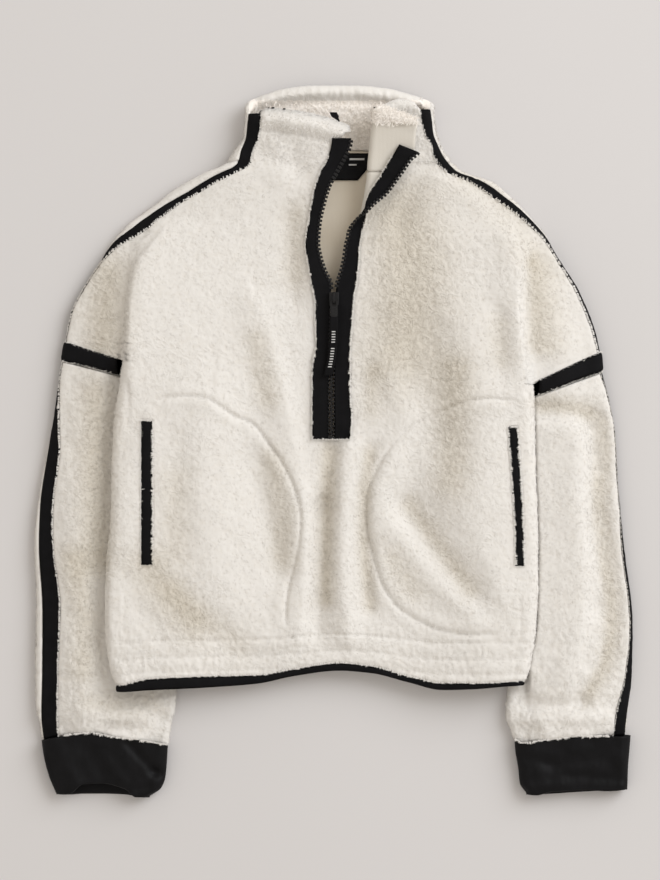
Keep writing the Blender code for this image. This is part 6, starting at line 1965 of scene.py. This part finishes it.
# ---------------------------------------------------------------- loose pile: over the trims' edges, and over the surface
rng = np.random.default_rng(21)
parts = []
for name, (g, *_) in strips.items():
    if name.startswith("cuff"):
        continue
    up = -1 if name == "hem_back" else 1
    for k, (edge, away, n) in enumerate(strip_edges(g, up)):
        if name.startswith("hem") and k == 0:
            continue
        if name.startswith("shoulder") or name.startswith("sleeve_tape"):
            # the pile lies further over the tape's inner edge than over its outer one
            if edge[:, 2].mean() > g[:, 4, 2].mean():
                parts.append(fringe(edge, away, n, rng, lift=0.2, reach=(0.25, 0.6)))
            continue
        if name.startswith("armhole"):
            n = unit(np.stack([0.35 * np.sign(g[:, 0, 0]) * (g[:, 0, 2] < 12), 0 * g[:, 0, 0], np.where(g[:, 0, 2] < 5, -1.0, 1.0)], -1) + 1e-6)
        parts.append(fringe(edge, away, n, rng, lift=0.3, reach=(0.5, 0.6)))
for g, col in ((zl, 0), (zr, -1)):
    e = g[:, col]
    keep = e[:, 1] < (330 if col == 0 else 332)
    away = (g[:, 0] - g[:, 1]) if col == 0 else (g[:, -1] - g[:, -2])
    parts.append(fringe(e[keep], away[keep], np.tile([0.0, 0.0, 1.0], (keep.sum(), 1)), rng, lift=0.2, reach=(0.7, 0.7)))
foot = spread(zl[:1, 0], zr[:1, -1], 24)[0]
parts.append(fringe(foot, np.tile([0.0, -1.0, 0.0], (24, 1)), np.tile([0.0, 0.0, 1.0], (24, 1)), rng, lift=0.6, reach=(0.6, 0.6)))
for side, (g, skin_, ob) in welts.items():
    for edge, away, n in strip_edges(g, 1):
        inner = (abs(edge[0, 0]) < abs(g[0, 3, 0]))
        soft = side == "right" or inner
        parts.append(fringe(edge, away, n, rng, lift=0.7, reach=(1.7, 1.0) if soft else (0.1, 0.4)))
    ends = [(g[0], g[0] - g[1]), (g[-1], g[-1] - g[-2])]
    for e, away in ends:
        parts.append(fringe(e, away, np.tile([0.0, 0.0, 1.0], (len(e), 1)), rng, lift=0.7, reach=(0.6, 0.5)))
for side in ("left", "right"):
    g = strips["cuff_" + side][0]
    e = g[0, :96]
    e = e[np.abs(e[:, 0]) < (310 if side == "left" else 318)]      # up to the sleeve's tape
    parts.append(fringe(e, np.tile([0.0, 1.0, 0.0], (len(e), 1)), np.tile([0.0, 0.0, 1.0], (len(e), 1)), rng, every=2.6, each=10, lift=0.9, reach=(1.0, 1.1)))
trim_pile = loose_pile("loose_pile_at_trims", parts)


def top_weight(side_gain):
    return lambda p, n: np.where(n[:, 2] > -0.3, 0.45 + 0.9 * painted_shade(p[:, 0], p[:, 1]) + side_gain * (1 - np.clip(np.abs(n[:, 2]), 0, 1)) ** 2, 0.2)


front_pile = loose_pile("loose_pile_front", [cover(front_skin, 22000, top_weight(3.0), rng)])
back_pile = loose_pile("loose_pile_back", [cover(back_skin, 9000, lambda p, n: 0.4 + 3.0 * (p[:, 2] > 3.0), rng)])
parts = []
for (side, top), (skin_, g, ob) in sleeves.items():
    parts.append(cover(skin_, 7500 if top else 3500, top_weight(3.0), rng))
sleeve_pile = loose_pile("loose_pile_sleeves", parts)
parts = []
for key, (skin_, g, ob) in collars.items():
    parts.append(cover(skin_, 2000, top_weight(2.0), rng))
# the curls on the turned-back top and inside the collar back are made in the brighter painted-light pile
sk = collars["right"][0]                            # the turned-back collar shows curls at its top
k = np.arange(len(sk.P)) >= collars["right"][1].shape[0] * collars["right"][1].shape[1]
k &= (sk.P[:, 1] > LAPEL_PILE + 1.0) & (sk.P[:, 0] < 95)
curls = [tufts(sk.inner_now[k], -sk.N[k], 900, rng, length=(3.4, 6.5))]
sk = collars["back"][0]
k = (sk.P[:, 1] > 322) & (sk.P[:, 1] < 392) & (sk.away > 2.0)
curls.append(tufts(sk.inner_now[k], -sk.N[k], 1800, rng))
for sk, low, high in ((front_skin, 318.6, 321.8), (collars["right"][0], 320.8, 324.0)):      # pile over the end of the neck seam
    q = sk.outer_now
    k = (q[:, 0] > 97) & (q[:, 0] < 120) & (q[:, 1] > low) & (q[:, 1] < high) & (sk.N[:, 2] > 0.4)
    parts.append(tufts(q[k], sk.N[k], 110, rng, length=(2.4, 4.2), width=0.85, stand=0.45))
inside_pile = loose_pile("loose_pile_collar_inside", curls, mat=PILE_PAINTED_LIGHT)
collar_pile = loose_pile("loose_pile_collar", parts)


# ---------------------------------------------------------------- floor, light, camera
def plane(name, size, z):
    mesh = bpy.data.meshes.new(name)
    s = size / 2
    mesh.from_pydata([(-s, -s, z), (s, -s, z), (s, s, z), (-s, s, z)], [], [[0, 1, 2, 3]])
    ob = bpy.data.objects.new(name, mesh)
    bpy.context.scene.collection.objects.link(ob)
    return ob


floor = plane("floor", 12.0, 0.0)
m, t, b, place, node, link = node_material("pale_floor")
n = node("ShaderNodeTexNoise", Scale=1.2, Detail=2.0)
link(place.outputs["Object"], n.inputs["Vector"])
r = ramp_node(node, [(0.3, (0.655, 0.64, 0.642)), (0.7, (0.67, 0.655, 0.66))])
link(n.outputs["Fac"], r.inputs[0])
link(r.outputs[0], b.inputs["Base Color"])
b.inputs["Roughness"].default_value = 0.9
b.inputs["Specular IOR Level"].default_value = 0.1
floor.data.materials.append(m)

KEY, SKY = 200.0, 0.71


def area_light(name, place_, target, size, power, color):
    data = bpy.data.lights.new(name, "AREA")
    data.shape = "DISK"
    data.size = size
    data.energy = power
    data.color = color
    ob = bpy.data.objects.new(name, data)
    bpy.context.scene.collection.objects.link(ob)
    ob.location = place_
    ob.rotation_euler = (Vector(target) - Vector(place_)).to_track_quat("-Z", "Y").to_euler()
    return ob


area_light("key", (3.6, 2.6, 3.23), (0, 0, 0), 4.4, KEY, (0.95, 0.975, 1.0))
world = bpy.data.worlds.new("soft_sky")
bpy.context.scene.world = world
world.use_nodes = True
world.node_tree.nodes["Background"].inputs["Color"].default_value = (1.0, 0.94, 0.86, 1)
world.node_tree.nodes["Background"].inputs["Strength"].default_value = SKY
bpy.context.scene.view_settings.view_transform = "Standard"
bpy.context.scene.view_settings.look = "None"

cam_data = bpy.data.cameras.new("camera")
cam = bpy.data.objects.new("camera", cam_data)
bpy.context.scene.collection.objects.link(cam)
DIST = 5.0
cam.location = (-0.0046, 0.00115, DIST)
cam.rotation_euler = (0, 0, 0)
cam_data.sensor_fit = "VERTICAL"
cam_data.angle = 2 * math.atan(0.506 / (DIST - 0.02))
cam_data.clip_end = 50
bpy.context.scene.camera = cam

# ---------------------------------------------------------------- the flat size each sheet is cut to, worked out and not kept
LAID = "laid"
declare(front, cut(front_grid), front_skin.area)
declare(back, cut(back_grid), back_skin.area)
for (side, top), (skin, grid, ob) in sleeves.items():
    declare(ob, cut(grid), skin.area)
for key, (skin, grid, ob) in collars.items():
    declare(ob, cut(grid), skin.area)
for key, (g, skin, ob) in strips.items():
    declare(ob, cut(g), skin.area)
for g, (skin, ob) in ((zl, zip_l), (zr, zip_r)):
    declare(ob, cut(g), skin.area)
declare(ribbon, cut(rib), rib_skin.area)
for g, skin, ob in list(welts.values()) + list(bags.values()):
    declare(ob, cut(g), skin.area)
declare(label[2], cut(label[0]), label[1].area)
declare(end_piece[2], cut(end_piece[0]), end_piece[1].area)
